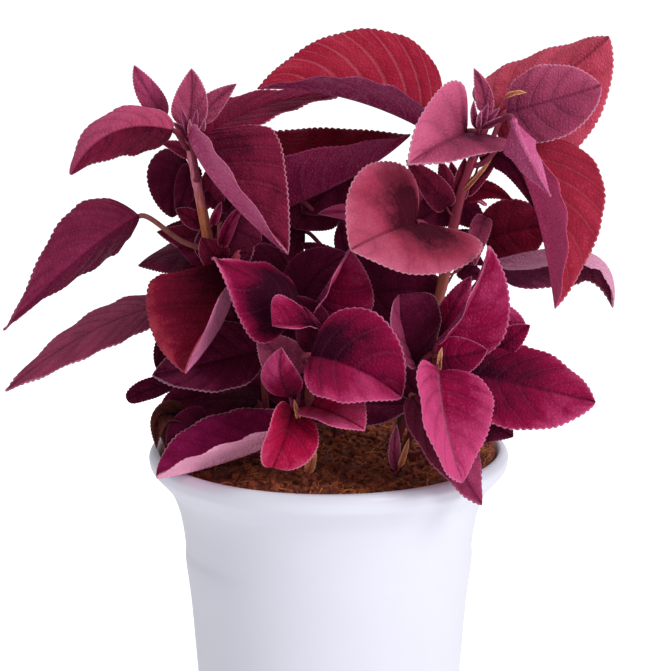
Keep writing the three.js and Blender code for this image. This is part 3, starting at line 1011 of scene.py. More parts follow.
@dataclass(frozen=True)
class Leaf:
    """One grown leaf, a blade on its stalk.

    It leaves its stem at the share `at` and its midrib runs from heel through middle to
    tip. left and right are the angles in degrees by which the halves, as seen walking
    on the upper side from heel to tip, fold up out of the blade's plane. lobe is how far
    the base reaches back past the heel, with right_lobe the right half's own where it
    differs, and lobe_power how close to the heel it is. near and far are the powers of
    the outline and flip turns the underside to the front. light is the painted shade,
    -1, or painted light, 1, on the left and right halves. core is how dark the heart is,
    its own darker colour with painted shade; glow is how bright the margins and the tip
    are, their paler colour with painted light; light_rib is how pale the midrib is.
    """

    name: str
    at: float
    heel: Place
    middle: Place
    tip: Place
    width: float
    left: float = 0.0
    right: float = 0.0
    tone: Tone = Tone.DARK
    lobe: float = 0.12
    near: float = 0.5
    far: float = 0.9
    faces: Facing = Facing.FRONT
    flip: bool = False
    right_lobe: float | None = None
    lobe_power: float = 2.5
    # Painted light and shade: light on each half, core in the heart and glow at the margins and tip, the
    # last two with the leaf's own colour.
    light: tuple[float, float] = (0.0, 0.0)
    core: float = 0.7
    glow: float = 0.35
    light_rib: float = 0.0

    # -------------------------------------------------------------- midrib

    @property
    def side(self) -> int:
        """1, or -1 for a leaf that turns its underside to the front."""
        return -1 if self.flip else 1

    @property
    def ends(self) -> tuple[Array, Array]:
        """The heel and the tip."""
        return np.array(self.heel, float), np.array(self.tip, float)

    @property
    def control(self) -> Array:
        """The control point that makes the quadratic curve pass through the middle."""
        heel, tip = self.ends
        return 2 * np.array(self.middle, float) - (heel + tip) / 2

    def spine(self, u: Array) -> Array:
        """The midrib at u: (1-u)^2 heel + 2u(1-u) control + u^2 tip, straight behind the heel."""
        u = np.asarray(u, float)[..., None]
        heel, tip = self.ends
        curve = (1 - u) ** 2 * heel + 2 * u * (1 - u) * self.control + u * u * tip
        return np.where(u < 0, heel + u * 2 * (self.control - heel), curve)

    @property
    def length(self) -> float:
        """The length of the midrib, summed up over short steps."""
        steps = np.diff(self.spine(np.linspace(0, 1, 30)), axis=0)
        return float(np.linalg.norm(steps, axis=1).sum())

    def frame(self, u: Array) -> tuple[Array, Array, Array]:
        """The directions at the midrib.

        The bend axis is square to the midrib's plane. The upper side's normal lies in
        the plane square to the midrib, turned about it by the one angle that makes it
        look along `faces` in the middle.

        Args:
            u: shares of the midrib.

        Returns:
            The midrib's heading, the way to the right-hand margin and the normal.
        """
        heel, tip = self.ends
        start, end = self.control - heel, tip - self.control
        chord = unit(tip - heel)
        facing = np.array(self.faces.value)
        upward = unit(facing - dot(facing, chord) * chord)
        bend = np.cross(start, end)
        straight = np.linalg.norm(bend) < 1e-3 * np.linalg.norm(start) * np.linalg.norm(end)
        bend = upward if straight else unit(bend)
        turn = math.atan2(float(upward @ bend), float(upward @ np.cross(bend, chord)))
        share = np.clip(np.asarray(u, float), 0, 1)[..., None]
        heading = unit((1 - share) * start + share * end)
        up = math.cos(turn) * np.cross(bend, heading) + math.sin(turn) * bend
        return heading, np.cross(heading, up), up

    # --------------------------------------------------------------- blade

    def rib_share(self, s: Array) -> Array:
        """The share of the midrib at which the line of equal s leaves it."""
        return s**1.6

    def half_width(self, s: Array) -> Array:
        """The distance from the midrib to the margin along the blade at s."""
        return 0.5 * self.width * hump(s, self.near, self.far)

    def surface(self, s: Array, v: Array) -> tuple[Array, Array]:
        """A point of the blade's middle sheet and its normal.

        s runs from heel to tip and v from the left margin, -1, to the right, 1. A line
        of equal s leaves the midrib at s^1.6 and sweeps forward to s at the margin,
        less the lobe. The distance from the midrib is half the width times the
        outline's hump, laid off at the half's fold angle, which the cup turns back.

        Args:
            s: shares of the length.
            v: shares across.

        Returns:
            The place and the unit normal, in the shape that s and v make together.
        """
        s, v = np.broadcast_arrays(np.asarray(s, float), np.asarray(v, float))
        out = np.abs(v)
        hand = np.where(v >= 0, 1.0, -1.0)
        right_lobe = self.lobe if self.right_lobe is None else self.right_lobe
        lobe = np.where(v > 0, right_lobe, self.lobe)
        rib_end = self.rib_share(s)
        edge_end = s - lobe * hump(s, 0.5, self.lobe_power)
        u = rib_end + (edge_end - rib_end) * out**1.3
        reach = self.half_width(s) * out
        left, right, cup = (math.radians(angle) for angle in (self.left, self.right, GRAIN.cup))
        fold = np.where(v >= 0, right, left)
        mean, final = fold + cup * out / 2, fold + cup * out
        _, sideways, up = self.frame(u)
        place = self.spine(u) + (reach * np.cos(mean) * hand)[..., None] * sideways
        place = place + (reach * np.sin(mean))[..., None] * up
        normal = np.cos(final)[..., None] * up - (np.sin(final) * hand)[..., None] * sideways
        crease = (math.cos(left) + math.cos(right)) * up
        crease = unit(crease + (math.sin(left) - math.sin(right)) * sideways)
        normal = np.where((out < 1e-9)[..., None], crease, normal)
        return place, normal * self.side

    def stations(self) -> tuple[Array, Array, float]:
        """Shares s that are evenly spaced along the margins.

        The lengths of both margins are summed up on a fine cosine-spaced row of s,
        and s is read back at equal steps of their mean.

        Returns:
            The stations, the margin's length up to each of them, and the tooth pitch.
        """
        fine = 0.5 - 0.5 * np.cos(np.linspace(0, math.pi, 500))
        runs = []
        for v in (-1.0, 1.0):
            edge, _ = self.surface(fine, v)
            steps = np.linalg.norm(np.diff(edge, axis=0), axis=1)
            runs.append(np.concatenate([[0], np.cumsum(steps)]))
        run = (runs[0] + runs[1]) / 2
        pitch = float(np.clip(GRAIN.pitch_to_margin * run[-1], GRAIN.fine_tooth_pitch, GRAIN.tooth_pitch))
        count = int(np.clip(run[-1] / pitch * GRAIN.steps_per_tooth, *GRAIN.stations))
        even = np.linspace(0, run[-1], count + 2)[1:-1]
        return np.interp(even, run, fine), even, pitch

    def vein_number(self, s: Array, out: Array) -> Array:
        """The side veins counted from the heel, in lines that sweep forward to the margin."""
        count = np.clip(round(self.length / GRAIN.vein_spacing), *GRAIN.vein_counts)
        return count * (s**0.92 - 0.15 * out**1.6) + 0.6 + 0.25 * np.sin(3 * s)

    def relief(self, s: Array, out: Array, vein: Array) -> Array:
        """How far the middle sheet is raised along its normal.

        The pucker is the 0.8th power of the sine of the vein number and fades at the
        midrib and the margin; the groove is a bell about the midrib that flattens
        toward the tip; the ripple is two sines that grow toward the margin.

        Args:
            s: shares of the length.
            out: shares of the way from the midrib to the margin.
            vein: the vein number.

        Returns:
            Heights.
        """
        size = float(np.clip(self.width / GRAIN.full_width, 0.35, 1.0))
        across = out * self.half_width(s)
        height = GRAIN.pucker * size * np.abs(np.sin(math.pi * vein)) ** 0.8
        height *= smoothstep(out, 0.0, 0.22) * (1 - 0.75 * out**3)
        height -= GRAIN.groove * size * (1 - s) ** 0.5 * np.exp(-((across / 1.3) ** 2))
        wave = np.sin(2 * math.pi * vein * 0.55) + 0.6 * np.sin(5.1 * s)
        return height + GRAIN.ripple * size * out**2.5 * wave * smoothstep(s, 0.0, 0.25)

    def teeth(self, place: Array, s: Array, out: Array, run: Array, pitch: float) -> Array:
        """How far each point moves outwards, so that the margin has round forward-leaning teeth.

        A tooth is the 0.7th power of a sine over its length, less 0.45. Teeth fade
        toward the heel and the tip and reach in from the margin over a quarter of
        the half.

        Args:
            place: the points of the sheet.
            s: their shares of the length.
            out: their shares of the way from the midrib to the margin.
            run: the margin's length up to each station.
            pitch: the length of a tooth.

        Returns:
            Offsets.
        """
        middle = place.shape[1] // 2
        outward = np.zeros_like(place)
        outward[:, :middle] = unit(place[:, :1] - place[:, 1:2])
        outward[:, middle + 1:] = unit(place[:, -1:] - place[:, -2:-1])
        count = max(6, round(run[-1] / pitch))
        phase = (run / run[-1] * count)[:, None]
        crown = np.sin(math.pi * (phase % 1.0) ** 0.8) ** 0.7 - 0.45
        fade = smoothstep(s, 0.02, 0.1) * smoothstep(self.half_width(s), 0.3, 3.0)
        bite = smoothstep(out, 0.72, 1.0) * np.where(out == 1, 1.0, 0.65)
        height = GRAIN.tooth_height * pitch / GRAIN.tooth_pitch
        return outward * (height * crown * fade * bite)[..., None]

    def blade(self) -> tuple[Array, Array, dict[str, Array]]:
        """The blade's rings.

        The middle sheet has its relief and teeth. The upper and lower side lie half
        the thickness off it, and the midrib stands out underneath in a bell, thick at
        the heel and thin at the tip.

        Returns:
            The rings, the stations, and the point values.
        """
        stations, run, pitch = self.stations()
        shares = np.array(GRAIN.shares)
        across = np.concatenate([-shares[::-1], [0.0], shares])
        s, v = np.meshgrid(stations, across, indexing="ij")
        out = np.abs(v)
        half_width = self.half_width(s)
        vein = self.vein_number(s, out)
        place, normal = self.surface(s, v)
        place = place + normal * self.relief(s, out, vein)[..., None]
        place = place + self.teeth(place, s, out, run, pitch)

        thick = GRAIN.thickness + (GRAIN.margin_thickness - GRAIN.thickness) * out**2
        ridge = self.stalk_radius * (0.95 * (1 - s) ** 0.8 + 0.12)
        ridge *= np.exp(-((out * half_width / (1.1 * self.stalk_radius)) ** 2))
        over = place + normal * (thick / 2)[..., None]
        under = place - normal * (thick / 2 + ridge)[..., None]
        values = {
            "vein": vein,
            "across": out * half_width,
            "edge": (1 - out) * half_width * float(np.clip(30 / self.width, 1.0, 2.5)),
            "side": np.ones_like(out),
            # tone: painted light and shade with the darker heart and paler margins.
            "tone": self.tones_with_painted_light(s, v),
            "light_rib": np.full_like(out, self.light_rib),
            "stalk": np.zeros_like(out),
        }
        values = {name: np.concatenate([x, x[:, ::-1]], axis=1) for name, x in values.items()}
        values["side"][:, len(across):] = -1
        return np.concatenate([over, under[:, ::-1]], axis=1), stations, values

    def tones_with_painted_light(self, s: Array, v: Array) -> Array:
        """How bright the blade is: each half's painted light or shade, less the heart, its darker colour
        with painted shade, plus the glow, its paler margins and tip with painted light.

        The heart is full at the heel and gone at 0.8 of the length, and fades as the
        square of the way to the margin. The glow grows as the fourth power of that
        way, and with the length from 0.45 on.

        Args:
            s: shares of the length.
            v: shares across.

        Returns:
            Tones, about -1 to 1.
        """
        out = np.abs(v)
        # Painted light or shade on each half.
        half = np.where(v < 0, self.light[0], self.light[1])
        heart = (1 - out**2) * (1 - smoothstep(s, 0.0, 0.8))
        tip = 0.55 * smoothstep(s, 0.45, 1.0) + 0.75 * out**4
        return half - self.core * heart + self.glow * np.minimum(tip, 1.0)

    # --------------------------------------------------------------- stalk

    @property
    def stalk_radius(self) -> float:
        """The radius of the stalk, thinner on a small leaf."""
        wanted = self.width * GRAIN.stalk_to_width
        return float(np.clip(wanted, GRAIN.thin_stalk_radius, GRAIN.stalk_radius))

    def stalk_rings(self, centres: Array, sideways: Array, up: Array, radii: Array) -> Array:
        """Round rings about centres, their points in the order of a blade ring's."""
        over = np.linspace(math.pi - 0.07, 0.07, 2 * len(GRAIN.shares) + 1)
        angle = np.concatenate([over, -over[::-1]])
        return rings_around(centres, radii[:, None], sideways, up * self.side, angle)

    def stalk(self, stem: Stem) -> Array:
        """The stalk's rings.

        The stalk is the cubic curve that leaves the stem square to it and arrives
        along the midrib, with handles of 0.38 and 0.2 of the distance. It starts inside
        the stem and is a third thicker there.

        Args:
            stem: the stem that carries the leaf.

        Returns:
            The rings from the stem to just before the heel.
        """
        heading, sideways, up = (x[0] for x in self.frame(np.zeros(1)))
        root = stem.axis(np.array(self.at))
        along = stem.heading(self.at)
        heel, _ = self.ends
        outward = heel - root
        outward = unit(outward - dot(outward, along) * along)
        start = root + outward * (stem.radius(self.at) * 0.55)
        reach = float(np.linalg.norm(heel - start))
        count = max(4, round(reach / GRAIN.stalk_ring_spacing))
        u = (np.arange(count) / count)[:, None]
        line, going = bezier(start, start + outward * 0.38 * reach, heel - heading * 0.2 * reach, heel, u)
        flat = sideways - dot(np.broadcast_to(sideways, going.shape), going) * going
        steep = np.linalg.norm(flat, axis=1, keepdims=True) < 0.2
        flat = unit(np.where(steep, np.cross(going, up), flat))
        radii = self.stalk_radius * (1 + 0.35 * np.exp(-u[:, 0] * reach / 2.5))
        return self.stalk_rings(line, flat, np.cross(flat, going), radii)

    def skin(self, stem: Stem) -> Skin:
        """The whole leaf as one closed surface.

        Where the blade is narrower than about twice the stalk its rings are mixed
        with round stalk rings on the midrib, so that the one grows out of the other.

        Args:
            stem: the stem that carries the leaf.

        Returns:
            The surface with the point values that the leaf finish reads.
        """
        rings, s, values = self.blade()
        rib = self.rib_share(s)
        _, sideways, up = self.frame(rib)
        grown = smoothstep(self.half_width(s) / self.stalk_radius, 0.4, 2.6)
        grown = np.where(s > 0.4, 1.0, grown)[:, None, None]
        round_rings = self.stalk_rings(self.spine(rib), sideways, up, np.full(len(s), self.stalk_radius))
        rings = round_rings + (rings - round_rings) * grown
        values["stalk"] = np.broadcast_to(0.9 * (1 - grown[..., 0]), values["stalk"].shape).copy()
        stalk = self.stalk(stem)
        before = {name: np.repeat(x[:1], len(stalk), axis=0) for name, x in values.items()}
        for name, value in {"stalk": 1.0, "side": 0.0, "edge": 5.0}.items():
            before[name] = np.full_like(before[name], value)
        values = {name: np.concatenate([before[name], x]) for name, x in values.items()}
        _, tip = self.ends
        return lofted(np.concatenate([stalk, rings]), stalk[0].mean(0), tip, values)


# The leaves of the imported model, by the stem that carries them. Their light values
# paint shade or light on the halves, and core and glow paint shade in the heart and
# light at the margins and tip, with the leaf's own colour.
LEAVES: dict[str, tuple[Leaf, ...]] = {
    "left_stem": (
        Leaf("left_bud_leaf", 0.96, (-71, 8, 296), (-79, 9, 307), (-84.5, 9, 318.5), 10.8, 10, 10,
             Tone.PINK, lobe=0, light=(-0.1, -0.1), core=0.2, glow=0.2),
        Leaf("left_young_leaf", 1, (-61, -7, 293), (-59, -5, 304), (-59, 0, 318), 17, 25, 30, Tone.MAUVE,
             lobe=0, light=(0.2, 0.2), core=0.3, glow=0.2),
        Leaf("left_drooping_leaf", 0.965, (-66, -21, 294), (-91, -23, 293.3), (-109, -29, 276), 37, -54,
             -50, Tone.CRIMSON, lobe=0.02, far=0.85, light=(-0.55, 0.8), core=0.2, glow=0.3),
        Leaf("left_folded_leaf", 0.82, (-59, -14, 291), (-45, -25, 269), (-17, -36, 243), 66, -5, 108,
             Tone.CRIMSON, lobe=0, far=0.85, light=(-0.75, 0.45), core=0.2, glow=0.3),
        Leaf("left_arching_leaf", 0.93, (-55, 4, 288), (-23, 16, 301), (14, 26, 304), 36, -50, 66,
             Tone.MAGENTA, lobe=0.05, near=0.36, far=1.25, light=(-0.1, -0.3), core=0.2, glow=0.2),
        Leaf("left_round_leaf", 0.72, (-61, 12, 273), (-67.5, 16, 266), (-69.5, 16, 250), 28, -10, 10,
             Tone.DARK, lobe=0.08, far=0.75),
        Leaf("left_side_leaf", 0.5, (-55, 14, 234), (-69, 16, 234), (-85, 16, 228), 30, 50, -60, Tone.DARK),
        Leaf("left_long_upper_leaf", 0.6, (-82, -10, 255.1), (-106.2, -18, 239), (-140, -26, 208), 40, -68,
             -14, Tone.PLUM, lobe=0, near=0.75, far=1.4, light=(-0.3, 0.15), core=0.3, glow=0.1),
        Leaf("left_long_lower_leaf", 0.3, (-70, 0, 214), (-105, -2, 202), (-143, -6, 176), 34, 57, -56,
             Tone.MAUVE, lobe=0.03, near=0.6, light=(-0.2, -0.2), core=0.3, glow=0.1),
        Leaf("left_red_leaf", 0.46, (-43, -6, 234), (-44, -25, 216), (-60, -54, 196), 70, 97, 5, Tone.RED,
             lobe=-0.03, right_lobe=0.08, near=0.6, far=0.52, light=(0.8, -0.75), core=0.5, glow=1.25),
        Leaf("left_inner_leaf", 0.54, (-46, -9, 252), (-38, -9, 248), (-29, -9, 244), 28, 0, -30, Tone.PLUM,
             lobe=0.05, light=(-0.2, -0.2), core=0.3, glow=0.1),
        Leaf("centre_long_leaf", 0.72, (-26, 18, 253), (10, 14, 269.3), (36, 10, 288.1), 70, -10, 131,
             Tone.CLARET, lobe=0.2, near=0.28, far=1.08, light=(0, 0.2), core=0.2, glow=0.2),
    ),
    "low_left_stem": (
        Leaf("left_mid_dark_leaf", 1, (-29, -26, 199), (-52, -28, 194), (-76, -30, 189), 36, 48, -20,
             Tone.DUSK, lobe=0.02, light=(0.1, 0.2), core=0.3, glow=0.1),
        Leaf("left_low_dark_leaf", 0.5, (-31, -20, 175), (-49, -19, 176), (-73, -20, 173), 30, 50, -60,
             Tone.DARK, lobe=0.02),
    ),
    "middle_stem": (
        Leaf("left_rim_leaf", 0.3, (-12, -42, 168), (-45, -48, 156), (-73, -53, 150), 47, 112, -30,
             Tone.RIMMED, lobe=0.05, near=0.6, far=0.62, light=(0.95, 0.15), core=0.3, glow=0.1),
        Leaf("centre_left_leaf", 0.97, (-12, -52, 224), (-29, -57, 236), (-48, -62, 247), 44, 8, -62,
             Tone.MAGENTA, lobe=0.05, far=1.4, light=(-1, -1), core=1.1, glow=2),
        Leaf("centre_dark_leaf", 0.85, (-12, -26, 221), (-4, -25, 233), (9, -26, 241), 28, -20, 20,
             Tone.DARK, lobe=0.05),
        Leaf("centre_top_leaf", 1, (-5, -39, 222), (2, -41, 234), (9, -43, 247), 42, 97, -5, Tone.MAGENTA,
             lobe=0.05, light=(0.4, 0), glow=0.3),
        Leaf("centre_broad_leaf", 0.7, (-7, -72, 208), (13, -78, 203), (30, -84, 193), 50, -10, 55,
             Tone.MAGENTA, lobe=0.03, light=(-0.5, 0.15), core=0.9, glow=0.6),
        Leaf("centre_folded_leaf", 0.9, (-3, -60, 216), (-12, -66, 219), (-23, -70, 220), 26, 92, -10,
             Tone.MAGENTA, lobe=0, near=1.4, far=0.28, light=(-0.45, -0.55), core=1.2, glow=1.1),
        Leaf("centre_low_leaf", 0.4, (0, -34, 178), (18, -36, 178), (37, -37, 178), 26, -40, 45, Tone.DUSK,
             lobe=0, light=(0.1, 0.2), core=0.3, glow=0),
    ),
    "front_stem": (
        Leaf("front_upright_leaf", 1, (-16, -62, 188), (-20, -66, 199), (-19, -66, 210), 18, -20, 25,
             Tone.MAGENTA, lobe=0, far=1, light=(0.5, 0), core=0.8, glow=0.5),
        Leaf("front_hanging_leaf", 0.86, (-15, -70, 184), (-18.2, -79, 174), (-23, -79.5, 162.8), 28, 0, 62,
             Tone.CHERRY, lobe=0, near=0.35, far=0.45, light=(-0.1, -0.1), core=0.6, glow=0.5),
        Leaf("front_right_leaf", 0.97, (-7, -64, 184), (4, -74, 183), (15, -82, 178.5), 32, -10, 75,
             Tone.CHERRY, lobe=0, light=(0.15, 0.5), core=0.6, glow=0.6),
    ),
    "right_stem": (
        Leaf("top_arching_leaf", 0.9, (46, 4, 290), (8, 6, 305), (-31, 2, 309), 70, 104, -12, Tone.SCARLET,
             lobe=0, near=0.57, far=1.08, light=(0.25, 0.1), core=0.3, glow=0.1),
        Leaf("right_heart_leaf", 0.97, (58, -26, 294), (45, -40, 290), (32, -50, 283), 44, 50, 22,
             Tone.MAUVE, lobe=0.27, far=1.3, light=(0.1, 0.85), core=1.3),
        Leaf("right_mauve_leaf", 0.9, (76, -14, 301), (96, -20, 307), (115, -22, 313), 35, -20, 20,
             Tone.MAUVE, lobe=0.05, far=0.7, light=(0, -0.2), core=0.5, glow=0.3),
        Leaf("right_top_leaf", 0.95, (70, 3, 297), (99.2, 7, 313), (121.3, 7, 331), 65, -52, -5,
             Tone.ORANGE, lobe=0.05, near=0.3, far=0.86, light=(0.35, 0.4), core=0.3, glow=0.3),
        Leaf("right_pink_leaf", 1, (76, -52, 302), (80.5, -59, 291), (91, -62, 272), 33, -60, -60,
             Tone.PINK, lobe=0, near=0.36, far=1, flip=True, light=(0.2, 0.2), core=0.1, glow=0.3),
        Leaf("right_hanging_leaf", 0.86, (77, -11, 289), (90, -15, 258), (98, -19, 216), 63, -5, 110,
             Tone.ORANGE, lobe=-0.06, near=0.6, far=0.95, light=(0, 0.7), core=0.4, glow=-0.1),
        Leaf("right_narrow_leaf", 0.78, (66, -3, 278), (78, -2, 278), (90, -1, 256), 12, lobe=0),
        Leaf("centre_heart_leaf", 0.62, (37, -36, 257), (23, -46, 254), (9, -58, 249), 58, 35, 5, Tone.ROSE,
             lobe=0.72, right_lobe=0.25, lobe_power=5, light=(0.3, 0.05), core=1.9, glow=0.8),
        Leaf("right_round_leaf", 0.6, (70, 24, 238), (84, 28, 242), (98, 26, 244), 30, -5, 0, Tone.RED,
             lobe=0, near=0.45, far=0.6, light=(-0.5, -0.2), core=0.3, glow=0),
        Leaf("right_curled_leaf", 0.4, (75, 10, 231), (116, 12, 234), (126, 6, 211), 34, 118, -15,
             Tone.MAUVE, lobe=0, near=0.25, far=0.8, light=(1, -1), core=0.3, glow=0.5),
    ),
    "low_right_stem": (
        Leaf("right_inner_leaf", 0.97, (37, -46, 197), (31.5, -46, 212), (29.4, -46, 228), 37, 80, -15,
             Tone.DUSK, lobe=0, near=0.4, far=0.18, light=(0.9, -0.1), core=0.3, glow=0.2),
        Leaf("right_upright_leaf", 1, (46, -54, 209), (58, -54, 226), (67, -52, 250), 40, 92, 0,
             Tone.MAGENTA, lobe=0, light=(0.45, 0.3), core=0.6, glow=0, light_rib=0.9),
        Leaf("right_side_leaf", 0.85, (60, -36, 208), (72, -36, 213), (84, -36, 213), 22, 0, 0,
             Tone.MAGENTA, lobe=0.05, light=(0.3, 0.4), core=0.3, glow=0.3),
        Leaf("right_broad_leaf", 0.85, (54, -56, 198), (85, -62, 192), (111, -66, 186.4), 44, -38, 36,
             Tone.MAGENTA, lobe=0.05, near=0.52, far=0.8, light=(-0.5, -0.25), core=0.6, glow=1),
        Leaf("right_front_leaf", 0.93, (45, -71, 201), (48, -82, 180), (55, -84, 157), 44, -10, 70,
             Tone.MAGENTA, lobe=0.08, light=(0.3, 0.85), core=0.6, glow=0.9, light_rib=0.3),
        Leaf("right_rim_leaf", 0.6, (35, -54, 186), (50, -64, 165), (64, -70, 143), 34, -35, 62, Tone.PLUM,
             lobe=0, light=(0.5, 0), core=0.3, glow=0.4),
    ),
    "back_stem": (
        Leaf("inner_upper_leaf", 0.9, (-1, 32, 259), (-9, 30, 251), (-15, 26, 243), 28, lobe=0),
        Leaf("inner_right_leaf", 0.4, (7, 22, 211), (28, 12, 218), (52, 4, 219), 44, lobe=0),
        Leaf("inner_left_leaf", 0.4, (-13, 26, 211), (-30, 22, 206), (-49, 16, 198), 60, lobe=0.05),
        Leaf("rear_top_leaf", 0.97, (6, 60, 262), (12, 84, 268), (14, 108, 250), 40, -15, -15, Tone.PLUM,
             faces=Facing.UP),
        Leaf("rear_top_left_leaf", 0.9, (-10, 54, 257), (-36, 68, 262), (-62, 82, 244), 44, -15, -15,
             Tone.PLUM, faces=Facing.UP),
        Leaf("rear_top_right_leaf", 0.97, (26, 48, 256), (48, 60, 262), (74, 72, 246), 42, -15, -15,
             Tone.CRIMSON, faces=Facing.UP),
        Leaf("rear_mid_leaf", 0.6, (0, 52, 222), (-6, 76, 222), (-12, 102, 200), 50, -15, -15, Tone.PLUM,
             faces=Facing.UP),
        Leaf("rear_mid_right_leaf", 0.55, (18, 46, 216), (40, 64, 214), (60, 84, 190), 46, -15, -15,
             Tone.PLUM, faces=Facing.UP),
        Leaf("rear_mid_left_leaf", 0.5, (-14, 42, 212), (-42, 60, 212), (-72, 74, 190), 48, -15, -15,
             Tone.PLUM, faces=Facing.UP),
        Leaf("rear_low_right_leaf", 0.2, (15, 46, 176), (26, 68, 176), (38, 90, 160), 42, -15, -15,
             Tone.PLUM, faces=Facing.UP),
        Leaf("rear_low_left_leaf", 0.2, (-19, 40, 176), (-38, 56, 176), (-60, 68, 160), 38, -15, -15,
             Tone.PLUM, faces=Facing.UP),
    ),
}
